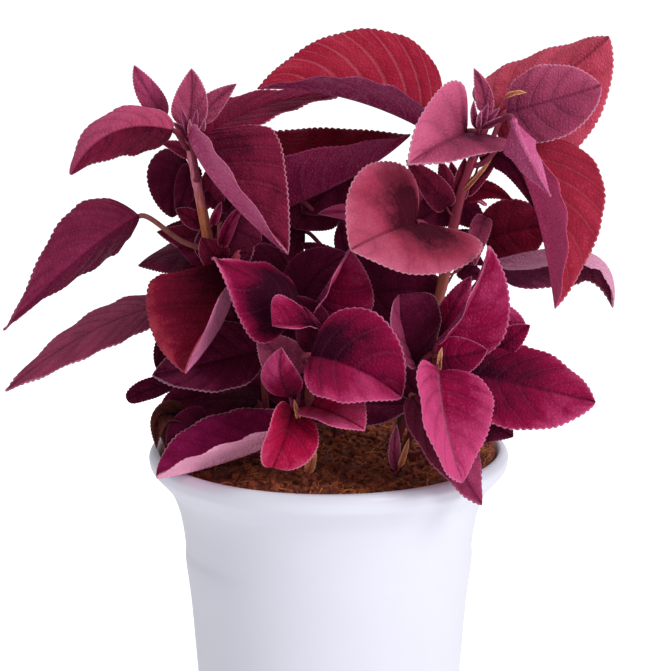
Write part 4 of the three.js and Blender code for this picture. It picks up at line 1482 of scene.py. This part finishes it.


# The smallest leaves, which the imported model leaves out. Their light values paint
# shade or light on the halves, and the fill leaves, mostly in the dark colour, are
# dark leaves set into gaps that lie in shade: painted shade.
YOUNG_LEAVES: dict[str, tuple[Leaf, ...]] = {
    "left_stem": (
        Leaf("left_tip_leaf", 0.99, (-57, 6, 293), (-51, 10, 301), (-40, 12, 310), 11, 10, 20, Tone.MAUVE,
             lobe=0),
        Leaf("left_back_tip", 0.52, (-56, 26, 244), (-66, 28, 243), (-77, 30, 241), 8, -20, 20, Tone.DARK,
             lobe=0),
        Leaf("left_upper_sliver", 0.81, (-60, 6, 274), (-63, 6, 263), (-67, 6, 254), 11),
        Leaf("left_mid_sliver", 0.67, (-59, 12, 260), (-58, 12, 253), (-57, 12, 246), 8, 0, 0, Tone.PLUM),
        Leaf("left_inner_tip", 0.76, (-52, -1, 266), (-46, -3, 262), (-38, -6, 255), 14),
        Leaf("left_low_tip", 0.02, (-68, 4, 177), (-79, 4, 175), (-90, 2, 170), 10, -20, 20, Tone.DARK,
             lobe=0, far=0.4),
        Leaf("left_low_sliver", 0.18, (-70, 14, 199), (-75, 14, 190), (-77, 12, 181), 8),
        Leaf("left_side_upper", 0.54, (-51, 12, 239), (-61, 10, 242), (-76, 8, 245), 15, 10, -20,
             Tone.CRIMSON, light=(-0.7, -0.6)),
        Leaf("left_side_fill", 0.51, (-50, 8, 232), (-57, 8, 236), (-67, 8, 238), 16, light=(0.3, 0.1)),
        Leaf("left_stem_cover", 0.71, (-52, -2, 258), (-51, -2, 267), (-51, -2, 277), 13, -20, 20,
             Tone.CRIMSON, light=(-0.6, -0.3)),
        Leaf("left_stem_sprig", 0.65, (-50, -9, 252), (-48, -11, 257), (-46, -12, 262), 4, 10, 10,
             Tone.MAGENTA, light=(0.3, 0.3)),
        Leaf("left_apex_one", 0.96, (-59, -12, 289), (-61, -13, 296), (-63, -12, 303), 3.2, 25, 25,
             Tone.VIOLET, lobe=0),
        Leaf("left_apex_two", 0.95, (-58, -13, 289), (-57, -14, 296), (-56, -13, 302), 3.4, 25, 25,
             Tone.VIOLET, lobe=0),
        Leaf("left_apex_three", 0.95, (-57, -12, 289), (-54, -13, 293), (-53, -12, 298), 3.0, 25, 25,
             Tone.MAUVE, lobe=0),
        Leaf("left_apex_four", 0.95, (-58, -13, 288), (-59, -15, 293), (-59, -15, 298), 2.6, 25, 25,
             Tone.MAUVE, lobe=0, light=(0.5, 0.5)),
        Leaf("left_axil_leaf", 0.92, (-58, -4, 281), (-64, -5, 284), (-73, -6, 287), 7, -20, 20,
             Tone.CRIMSON, light=(-0.4, -0.2)),
        Leaf("left_foot_cover", 0.53, (-46, -8, 235), (-51, -10, 240), (-55, -10, 246), 13, 0, 0,
             Tone.CRIMSON, light=(-0.6, -0.4)),
        Leaf("left_low_cover", 0.34, (-37, -8, 203), (-41, -10, 212), (-45, -10, 220), 13, light=(0.1, 0)),
        Leaf("left_side_tip", 0.63, (-56, 4, 249), (-62, 4, 253), (-67, 4, 256), 8, 0, 0, Tone.CRIMSON,
             light=(-0.5, -0.5)),
        Leaf("left_apex_five", 0.95, (-58, -10, 287), (-62, -11, 292), (-67, -10, 296), 4.5, 25, 25,
             Tone.MAUVE, lobe=0, light=(-0.3, -0.2)),
        Leaf("left_inner_fill", 0.51, (-51, 6, 231), (-43, 6, 244), (-36, 6, 258), 26, 0, 0, Tone.CRIMSON,
             light=(-0.8, -0.6)),
        Leaf("left_inner_shoot", 0.58, (-46, -10, 243), (-42, -12, 253), (-37, -12, 260), 6, 30, 10,
             Tone.MAGENTA, light=(0.1, 0.3)),
        Leaf("left_inner_dark", 0.55, (-51, -4, 234), (-44, -4, 237), (-35, -4, 238), 16, light=(0.2, 0.2)),
    ),
    "low_left_stem": (
        Leaf("withered_rim_leaf", 0.02, (-61, -24, 166), (-73, -30, 171), (-74, -36, 158), 15, 55, 60,
             Tone.WITHERED, lobe=0),
        Leaf("withered_edge_leaf", 0.02, (-59, -22, 165), (-69, -24, 169), (-71, -28, 157), 12, 40, -30,
             Tone.WITHERED, lobe=0),
        Leaf("left_rim_dark", 0.34, (-49, -16, 176), (-61, -18, 176), (-73, -20, 174), 19, 20, -20,
             Tone.DARK, light=(0.2, 0.1)),
        Leaf("left_rim_shadow", 0.06, (-53, -30, 168), (-62, -32, 165), (-70, -33, 159), 17, 20, 10,
             Tone.DARK, light=(-0.2, -0.2)),
        Leaf("left_low_fill", 0.47, (-18, -10, 176), (-27, -10, 178), (-36, -10, 180), 20, light=(0.1, 0)),
    ),
    "middle_stem": (
        Leaf("centre_upper_fill", 0.44, (1, -2, 196), (-3, -4, 207), (-4, -4, 218), 26, core=0.2),
        Leaf("centre_mid_fill", 0.15, (2, 2, 172), (-2, 0, 183), (-5, 0, 194), 28, core=0.2),
        Leaf("centre_low_fill", 0.27, (3, -18, 174), (-10, -18, 176), (-27, -18, 177), 20, core=0.2),
        Leaf("centre_stem_cover", 0.59, (-5, -56, 207), (-8, -60, 216), (-10, -60, 226), 12,
             light=(0.1, 0)),
        Leaf("centre_gap_fill", 0.76, (-4, -48, 212), (-8, -48, 220), (-13, -48, 228), 14, light=(0.1, 0)),
        Leaf("centre_edge_fill", 0.86, (4, -8, 233), (-3, -8, 238), (-12, -8, 243), 10, light=(0.2, 0.2)),
    ),
    "front_stem": (
        Leaf("front_tip_leaf", 1, (-13, -45, 193), (-21, -46, 202), (-30, -46, 211), 20, 10, 10,
             Tone.MAUVE),
        Leaf("front_bud", 0.57, (-12, -72, 181), (-13, -74, 185), (-14, -74, 190), 2.6, 40, 40, Tone.SHOOT,
             lobe=0),
        Leaf("soil_shoot_left", 0.02, (-9, -56, 153), (-7, -57, 159), (-6, -57, 166), 5, 35, 35, Tone.SHOOT,
             lobe=0),
    ),
    "right_stem": (
        Leaf("right_tip_leaf", 1, (67, -8, 301), (66, -8, 309), (62, -8, 319), 8, 20, 20, Tone.MAUVE),
        Leaf("right_left_sprig", 0.7, (51, -8, 259), (44, -10, 269), (33, -12, 280), 12, 0, 0, Tone.CRIMSON,
             light=(-0.6, -0.4)),
        Leaf("right_right_sprig", 0.7, (60, 6, 261), (69, 7, 264), (81, 7, 259), 9, 0, 0, Tone.RED),
        Leaf("right_low_sprig", 0.65, (54, 12, 255), (62, 14, 252), (70, 14, 246), 11),
        Leaf("right_hanging_tip", 0.64, (68, -2, 253), (65, -4, 244), (64, -4, 232), 9, 0, 0, Tone.MAUVE),
        Leaf("right_apex_one", 0.89, (63, -30, 296), (61, -31, 301), (61, -30, 308), 3.6, 25, 25,
             Tone.VIOLET, lobe=0),
        Leaf("right_apex_two", 0.89, (64, -31, 296), (65, -32, 301), (67, -31, 307), 3.8, 25, 25,
             Tone.VIOLET, lobe=0),
        Leaf("right_apex_three", 0.89, (64, -31, 297), (68, -32, 301), (72, -31, 305), 3.4, 25, 25,
             Tone.VIOLET, lobe=0),
        Leaf("right_apex_four", 0.89, (64, -32, 296), (70, -33, 299), (75, -32, 302), 3.2, 25, 25,
             Tone.MAUVE, lobe=0, light=(-0.4, -0.2)),
        Leaf("right_apex_five", 0.88, (63, -32, 296), (63, -33, 300), (64, -33, 304), 2.6, 25, 25,
             Tone.MAUVE, lobe=0, light=(0.4, 0.4)),
        Leaf("right_apex_curl", 0.99, (74, -30, 309), (78, -31, 311), (83, -31, 311), 2.6, 50, 30,
             Tone.SHOOT, lobe=0),
        Leaf("right_inner_sprig", 0.72, (57, 2, 261), (55, 0, 269), (53, 0, 278), 7, 20, 20, Tone.CRIMSON,
             light=(-0.4, -0.2)),
        Leaf("right_inner_tip", 0.75, (58, 0, 264), (59, -2, 271), (60, -2, 278), 4, 20, 20, Tone.ORANGE,
             light=(-0.3, -0.2)),
        Leaf("right_lower_red", 0.53, (62, 2, 235), (64, 0, 242), (64, 0, 248), 7, 10, 10, Tone.CRIMSON,
             light=(0.3, 0.3)),
        Leaf("right_lower_dark", 0.55, (54, 6, 236), (61, 6, 235), (69, 6, 230), 9, 10, 10, Tone.DARK,
             light=(0.2, 0.2)),
        Leaf("right_back_left", 0.69, (54, 4, 257), (46, 4, 255), (37, 4, 248), 17, light=(0.3, 0.2)),
        Leaf("right_back_right", 0.69, (55, 5, 257), (62, 6, 253), (69, 6, 245), 13, light=(0.3, 0.2)),
        Leaf("right_upper_sprig", 0.72, (53, -3, 260), (51, -4, 270), (48, -4, 279), 8, 0, 0, Tone.CRIMSON,
             light=(-0.5, -0.4)),
        Leaf("right_upper_tip", 0.75, (57, -3, 262), (58, -4, 271), (59, -4, 280), 7, 0, 0, Tone.CRIMSON,
             light=(-0.6, -0.4)),
        Leaf("right_amber_shoot", 0.76, (58, -6, 265), (64, -8, 272), (71, -8, 281), 2.4, 40, 40,
             Tone.SHOOT, lobe=0, light=(-0.4, -0.4)),
        Leaf("right_dark_shoot", 0.75, (60, -2, 264), (66, -2, 271), (73, -2, 278), 6, 20, 20, Tone.CRIMSON,
             light=(-0.6, -0.4)),
        Leaf("right_stem_fill_low", 0.49, (58, 8, 229), (63, 8, 227), (69, 8, 225), 9, light=(0.1, 0)),
        Leaf("right_stem_fill_mid", 0.55, (54, 8, 236), (58, 8, 241), (63, 8, 246), 12, light=(0.1, 0)),
    ),
    "low_right_stem": (
        Leaf("low_right_sprig", 0.85, (47, -33, 207), (54, -31, 221), (61, -31, 233), 11, 0, 0,
             Tone.MAGENTA),
        Leaf("low_right_tip", 0.84, (46, -62, 204), (56, -63, 206), (66, -63, 208), 18, -20, 20,
             Tone.MAGENTA, light=(-0.1, -0.3)),
        Leaf("low_right_fill", 0.33, (41, -24, 176), (36, -27, 183), (29, -28, 193), 20, core=0.2),
        Leaf("low_right_bud", 0.67, (46, -64, 198), (46, -66, 205), (47, -66, 210), 2.6, 40, 40, Tone.SHOOT,
             lobe=0),
        Leaf("soil_shoot_right", 0.02, (29, -52, 153), (28, -52, 163), (29, -50, 173), 6, 30, 30,
             Tone.MAUVE, lobe=0),
        Leaf("soil_shoot_pale", 0.02, (30, -54, 155), (32, -55, 161), (34, -54, 168), 3, 30, 30, Tone.SHOOT,
             lobe=0),
        Leaf("low_right_gap_fill", 0.65, (43, -38, 191), (44, -40, 197), (46, -40, 203), 12,
             light=(0.1, 0)),
        Leaf("low_right_fill_tip", 0.67, (72, -46, 205), (78, -46, 210), (85, -46, 215), 11, 0, 0,
             Tone.MAGENTA, light=(-0.4, -0.4)),
        Leaf("rim_right_fill", 0.12, (60, -40, 172), (69, -42, 171), (79, -42, 165), 20, 10, 10, Tone.DARK,
             light=(0.1, 0)),
    ),
    "back_stem": (
        Leaf("back_left_sprig", 0.7, (25, 16, 247), (10, 12, 253), (-5, 8, 253), 9, 20, 20, Tone.MAGENTA,
             light=(0.9, 0.9)),
        Leaf("back_inner_leaf", 0.7, (-11, 42, 239), (-24, 38, 237), (-37, 32, 233), 28, lobe=0),
        Leaf("back_upper_fill", 0.97, (10, 32, 266), (-1, 30, 259), (-12, 27, 250), 26, core=0.2),
        Leaf("back_upper_right", 0.89, (20, 30, 261), (13, 29, 254), (6, 27, 243), 20, core=0.2),
        Leaf("back_stem_cover", 0.67, (8, 26, 233), (6, 26, 239), (6, 26, 248), 8, light=(0.1, 0.1)),
        Leaf("centre_back_fill", 0.83, (-13, 24, 258), (-20, 22, 265), (-30, 20, 273), 26, light=(0.1, 0)),
    ),
}

# ------------------------------------------------------------------ pot and soil


@dataclass(frozen=True)
class Pot:
    """A thin-walled tapering cup with a rounded, rolled-out rim.

    `outside` are points (radius, height) up the wall, the first `wall_points` of them,
    and round the rim; `seat` is the point inside the rim where the wall begins.
    """

    base_radius: float = 56.0
    foot_round: float = 1.5
    wall: float = 3.0
    floor: float = 4.0
    outside: tuple[tuple[float, float], ...] = (
        (59.5, 43), (62.2, 78), (64.5, 98), (64.5, 106), (66, 117), (68, 125), (71, 132), (75, 137),
        (79, 141.5), (80, 144.5), (80, 147), (78.6, 149.4), (77, 150), (75.8, 149.2), (75, 147),
    )
    wall_points: int = 8
    seat: tuple[float, float] = (75.0, 141.5)
    sides: int = 192
    steps_between_points: int = 9
    inside_rings: int = 50

    @property
    def outer_wall(self) -> Array:
        """The points of the wall's outside below the rim, upwards."""
        return np.array(self.outside[: self.wall_points], float)

    def profile(self) -> Array:
        """The section from the middle of the underside, up and over the rim, to the floor.

        A smooth curve runs through the outside and rim points. The inside repeats the
        wall's outer points a wall's thickness further in, and the foot is rounded off.

        Returns:
            Rows of radius and height.
        """
        turn = np.linspace(-math.pi / 2, 0, 6)
        foot = self.foot_round * np.stack([np.cos(turn), 1 + np.sin(turn)], 1)
        foot[:, 0] += self.base_radius - self.foot_round
        run = np.vstack([foot[-1:], np.array(self.outside, float)])
        steps = (len(run) - 1) * self.steps_between_points + 1
        outer = catmull_rom(run, np.linspace(0, 1, steps))[1:]
        inner = np.vstack([self.seat, self.outer_wall[::-1] - [self.wall, 0]])
        inner = catmull_rom(inner, np.linspace(0, 1, self.inside_rings))
        floor = [[self.base_radius - self.wall, self.floor], [0.0, self.floor]]
        return np.vstack([[[0.0, 0.0]], foot, outer, inner, floor])

    def build(self, finishes: Finishes) -> bpy.types.Object:
        """Makes the pot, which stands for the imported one."""
        piece = revolved(self.profile(), self.sides).piece("pot_shell", finishes.pot)
        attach(piece, "root")
        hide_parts("pot")
        return piece


@dataclass(frozen=True)
class Soil:
    """Damp potting mix under the rim, with crumbs and fibres lying on it.

    Its body keeps `gap` from the pot's inside. `hills` are the seed, the cell size and
    the height of each noise of its surface, and a heap of `heap_height` lies at the
    right and the left, `heap_place`, and falls off over `heap_spread`.
    """

    pot: Pot
    gap: float = 0.3
    radius: float = 74.4
    shoulder: tuple[float, float] = (74.6, 141.8)
    level: float = 146.6
    crown: float = 0.9
    hills: tuple[tuple[int, float, float], ...] = ((3, 17.0, 1.1), (5, 5.5, 0.75), (7, 1.9, 0.45))
    heap_height: float = 3.2
    heap_place: tuple[float, float] = (70.0, -22.0)
    heap_spread: tuple[float, float] = (10.0, 34.0)
    rings: int = 90
    sides: int = 220
    crumbs: int = 1500
    fibres: int = 360
    fibre_rings: int = 7
    fibre_sides: int = 5
    seed: int = 11

    def height(self, x: Array, y: Array) -> Array:
        """The height of the surface.

        A slight crown, the cosine of the way to the wall, plus soft noises of falling
        cell size and a bell-shaped heap at either side.

        Args:
            x: places across.
            y: places front to back.

        Returns:
            The heights.
        """
        flat = np.stack([x, y, np.zeros_like(x)], -1)
        r = np.hypot(x, y)
        hills = sum(rise * ValueNoise(seed, cell)(flat) for seed, cell, rise in self.hills)
        off_x = (np.abs(x) - self.heap_place[0]) / self.heap_spread[0]
        off_y = (y - self.heap_place[1]) / self.heap_spread[1]
        heap = self.heap_height * np.exp(-(off_x**2 + off_y**2))
        return self.level + self.crown * np.cos(r / self.radius * math.pi / 2) + hills + heap

    def body(self) -> Skin:
        """The soil as one closed body: rough on top, the pot's inside below.

        The top is a grid of rings whose heights come from `height`; the rest is turned
        about Z.

        Returns:
            The surface.
        """
        floor = self.pot.floor + self.gap
        wall = np.vstack([[self.pot.base_radius, floor], self.pot.outer_wall])
        wall = np.vstack([wall - [self.pot.wall + self.gap, 0], self.shoulder])
        angle = full_turn(self.sides)
        radii = self.radius * np.linspace(1, 0.004, self.rings)[:, None]
        x, y = radii * np.cos(angle), radii * np.sin(angle)
        top = np.stack([x, y, self.height(x, y)], -1)
        middle = np.zeros(1)
        peak = float(self.height(middle, middle)[0])
        rings = np.concatenate([turned(wall, self.sides), top])
        return lofted(rings, np.array([0, 0, floor]), np.array([0, 0, peak]))

    def crumb(self) -> tuple[Array, Array]:
        """A lump of 20 points: a small ball of three rings, as points and triangles."""
        ball = revolved(np.array([(0, -1), (0.7, -0.72), (1, 0), (0.7, 0.72), (0, 1)], float), 6)
        return ball.points, ball.halves

    def scattered(self, count: int, rng: np.random.Generator) -> tuple[Array, Array]:
        """Even random places on the soil: the radius is the root of a random share."""
        radius = (self.radius - 1.0) * np.sqrt(rng.uniform(0, 1, count))
        angle = rng.uniform(0, 2 * math.pi, count)
        return radius * np.cos(angle), radius * np.sin(angle)

    def crumb_layer(self) -> Skin:
        """All crumbs as one mesh.

        Each is the small ball, stretched by a random size along each axis, turned by a
        random angle about Z and set a third into the soil.

        Returns:
            The surface.
        """
        rng = np.random.default_rng(self.seed)
        ball, faces = self.crumb()
        x, y = self.scattered(self.crumbs, rng)
        size = rng.gamma(2.2, 0.32, (self.crumbs, 1)) + 0.35
        stretch = size * rng.uniform(0.6, 1.35, (self.crumbs, 3))
        lumps = ball[None] * rng.uniform(0.78, 1.18, (self.crumbs, len(ball), 1)) * stretch[:, None]
        turn = rng.uniform(0, 2 * math.pi, self.crumbs)[:, None]
        flat_x = lumps[..., 0] * np.cos(turn) - lumps[..., 1] * np.sin(turn)
        flat_y = lumps[..., 0] * np.sin(turn) + lumps[..., 1] * np.cos(turn)
        z = self.height(x, y) + stretch[:, 2] * 0.35
        points = np.stack([flat_x + x[:, None], flat_y + y[:, None], lumps[..., 2] + z[:, None]], -1)
        shift = (np.arange(self.crumbs) * len(ball))[:, None, None]
        return Skin(points.reshape(-1, 3), np.zeros((0, 4), int), (faces[None] + shift).reshape(-1, 3))

    def fibre_lines(self, rng: np.random.Generator) -> Array:
        """The centre lines of the fibres.

        A fibre is an arc that lies on the soil: its middle is at a random place, it
        runs at a random angle, bends sideways by about a quarter of its length and bows
        up in the middle. Where it would pass the pot's wall it is drawn in.

        Args:
            rng: the source of the random draws.

        Returns:
            Fibres by places by coordinates.
        """
        x, y = self.scattered(self.fibres, rng)
        length = rng.uniform(3.0, 13.0, self.fibres)
        turn = rng.uniform(0, 2 * math.pi, self.fibres)[:, None]
        bend = rng.normal(0, 0.22, self.fibres) * length
        lift = rng.uniform(0.2, 1.5, self.fibres)
        along = np.linspace(-0.5, 0.5, self.fibre_rings)[None]
        bow = 0.25 - along**2
        steps = along * length[:, None]
        off = bow * 4 * bend[:, None]
        px = x[:, None] + steps * np.cos(turn) - off * np.sin(turn)
        py = y[:, None] + steps * np.sin(turn) + off * np.cos(turn)
        pull = np.minimum(1.0, (self.radius - 0.8) / np.maximum(np.hypot(px, py), 1e-6))
        px, py = px * pull, py * pull
        pz = self.height(px, py) + 0.25 + lift[:, None] * bow * 3
        return np.stack([px, py, pz], -1)

    def fibre_layer(self) -> Skin:
        """All fibres as one mesh of thin tubes that taper toward both ends.

        Returns:
            The surface.
        """
        rng = np.random.default_rng(self.seed + 1)
        line = self.fibre_lines(rng)
        heading = unit(np.gradient(line, axis=1))
        side = unit(np.cross(heading, [0.0, 0.0, 1.0]))
        along = np.linspace(-0.5, 0.5, self.fibre_rings)
        thick = rng.uniform(0.14, 0.42, self.fibres)[:, None, None]
        thick = thick * (1 - 1.2 * along**2)[None, :, None]
        rings = rings_around(line, thick, side, np.cross(side, heading), full_turn(self.fibre_sides))
        pattern = lofted(rings[0], line[0, 0], line[0, -1])
        ends = np.stack([line[:, 0], line[:, -1]], 1)
        points = np.concatenate([rings.reshape(self.fibres, -1, 3), ends], axis=1)
        shift = (np.arange(self.fibres) * points.shape[1])[:, None, None]
        quads, triangles = pattern.quads[None] + shift, pattern.triangles[None] + shift
        return Skin(points.reshape(-1, 3), quads.reshape(-1, 4), triangles.reshape(-1, 3))

    def build(self, finishes: Finishes) -> list[bpy.types.Object]:
        """Makes the soil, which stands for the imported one, its crumbs and its fibres."""
        bed = self.body().piece("soil_bed", finishes.soil)
        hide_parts("soil")
        crumbs = self.crumb_layer().piece("soil_crumbs", finishes.crumb)
        fibres = self.fibre_layer().piece("soil_fibres", finishes.fibre)
        for piece in (bed, crumbs, fibres):
            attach(piece, "root")
        return [bed, crumbs, fibres]


# ------------------------------------------------------------------ the plant


@dataclass(frozen=True)
class Plant:
    """The stems and every leaf on them."""

    stems: tuple[Stem, ...] = STEMS

    def build_stem(self, stem: Stem, finishes: Finishes) -> bpy.types.Object:
        """Makes a stem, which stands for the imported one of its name."""
        joints = [leaf.at for leaf in LEAVES[stem.name] + YOUNG_LEAVES[stem.name]]
        finish = finishes.red_stem if stem.red else finishes.stem
        piece = stem.skin(joints).piece(stem.name + "_skin", finish)
        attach(piece, "root")
        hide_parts(stem.name)
        return piece

    def build_leaf(self, leaf: Leaf, stem: Stem, packed: bool, finishes: Finishes) -> bpy.types.Object:
        """Makes a leaf.

        Args:
            leaf: the leaf.
            stem: the stem that carries it.
            packed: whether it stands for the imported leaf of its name.
            finishes: the materials.

        Returns:
            The piece.
        """
        name = leaf.name + "_blade" if packed else leaf.name
        piece = leaf.skin(stem).piece(name, finishes.leaf[leaf.tone])
        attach(piece, "root")
        if packed:
            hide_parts(leaf.name)
        leaf.tone.slot
        return piece

    def build(self, finishes: Finishes) -> list[bpy.types.Object]:
        """Makes all stems and leaves."""
        pieces = [self.build_stem(stem, finishes) for stem in self.stems]
        stems = {stem.name: stem for stem in self.stems}
        for table in (LEAVES, YOUNG_LEAVES):
            for name, leaves in table.items():
                packed = table is LEAVES
                pieces += [self.build_leaf(leaf, stems[name], packed, finishes) for leaf in leaves]
        return pieces


# ------------------------------------------------------------------ studio


@dataclass(frozen=True)
class Softbox:
    """A square soft light that looks at the plant."""

    name: str
    place: Place
    side: float
    power: float

    def build(self, target: Place) -> None:
        """Makes the light. Its place and side are in metres, its power in watts."""
        light = bpy.data.lights.new(self.name, "AREA")
        light.shape = "SQUARE"
        light.size = self.side
        light.energy = self.power
        thing = bpy.data.objects.new(self.name, light)
        x, y, z = (float(part) for part in unit(np.array(self.place) - np.array(target)))
        thing.location = self.place
        thing.rotation_euler = (math.acos(z), 0.0, math.atan2(y, x) + math.pi / 2)
        bpy.context.scene.collection.objects.link(thing)


@dataclass(frozen=True)
class Studio:
    """A plain pale floor, soft light and the camera. Places are in metres.

    The floor and the surround shine with one strength on the plant and are seen by
    the camera with another.
    """

    camera_place: Place = (0.003, -0.9751, 0.4215)
    camera_tilt: float = 12.8
    sensor: float = 36.0
    lens: float = 121.36
    sight: float = 50.0
    floor_radius: float = 9.0
    floor_corners: int = 64
    floor_height: float = -0.0005
    floor_glow: float = 0.12
    floor_seen: float = 0.7
    surround_glow: float = 0.42
    surround_seen: float = 1.0
    middle: Place = (0.0, 0.0, 0.2)
    boxes: tuple[Softbox, ...] = (
        Softbox("key_light", (0.9, -0.95, 0.95), 0.6, 13.0),
        Softbox("top_light", (0.1, 0.2, 1.3), 0.9, 5.0),
    )

    def build_camera(self) -> None:
        """Makes the camera and makes it the scene's."""
        data = bpy.data.cameras.new("camera")
        data.sensor_width = self.sensor
        data.lens = self.lens
        data.clip_end = self.sight
        camera = bpy.data.objects.new("camera", data)
        camera.location = self.camera_place
        camera.rotation_euler = (math.radians(90 - self.camera_tilt), 0.0, 0.0)
        bpy.context.scene.collection.objects.link(camera)
        bpy.context.scene.camera = camera

    def shine(self, wiring: Wiring, glow: float, seen: float) -> Socket:
        """A strength: `seen` for the camera and `glow` for everything else."""
        looked_at = wiring.add("LightPath").outputs["Is Camera Ray"]
        return wiring.span(looked_at, 0.0, 1.0, glow, seen)

    def build_floor(self) -> None:
        """Makes the floor: a wide disc, white, that glows a little so that it has no edge."""
        mesh = bpy.data.meshes.new("floor")
        ring = turned(np.array([[self.floor_radius, self.floor_height]]), self.floor_corners)[0]
        mesh.from_pydata(ring.tolist(), [], [list(range(self.floor_corners))])
        material, wiring, shader = new_material("floor_white")
        wiring.dress(shader, {
            "Base Color": wiring.mix(wiring.noise(3.0, 2.0), srgb(0xFFFFFF), srgb(0xFAFAFA)),
            "Roughness": 0.9,
            "Specular IOR Level": 0.0,
            "Emission Color": srgb(0xFFFFFF),
            "Emission Strength": self.shine(wiring, self.floor_glow, self.floor_seen),
        })
        mesh.materials.append(material)
        floor = bpy.data.objects.new("floor", mesh)
        bpy.context.scene.collection.objects.link(floor)

    def build_world(self) -> None:
        """Makes the surround: white from every side."""
        world = bpy.data.worlds.new("studio_white")
        world.use_nodes = True
        wiring = Wiring(world.node_tree)
        wiring.dress(world.node_tree.nodes["Background"], {
            "Color": srgb(0xFFFFFF),
            "Strength": self.shine(wiring, self.surround_glow, self.surround_seen),
        })
        bpy.context.scene.world = world
        bpy.context.scene.view_settings.view_transform = "Standard"

    def build(self) -> None:
        """Makes everything that the plant is shown in."""
        self.build_camera()
        self.build_floor()
        self.build_world()
        for box in self.boxes:
            box.build(self.middle)


def main() -> None:
    """Builds the studio and then the object, and reports each piece."""
    logging.basicConfig(level=logging.INFO, format="%(name)s: %(message)s")
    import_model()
    Studio().build()
    finishes = Finishes()
    pot = Pot()
    pieces = [pot.build(finishes)]
    pieces += Soil(pot).build(finishes)
    pieces += Plant().build(finishes)
    for piece in pieces:
        log.info("%s: %d faces", piece.name, len(piece.data.polygons))
    log.info("%d pieces, %d faces", len(pieces), sum(len(p.data.polygons) for p in pieces))


if __name__ == "__main__":
    main()
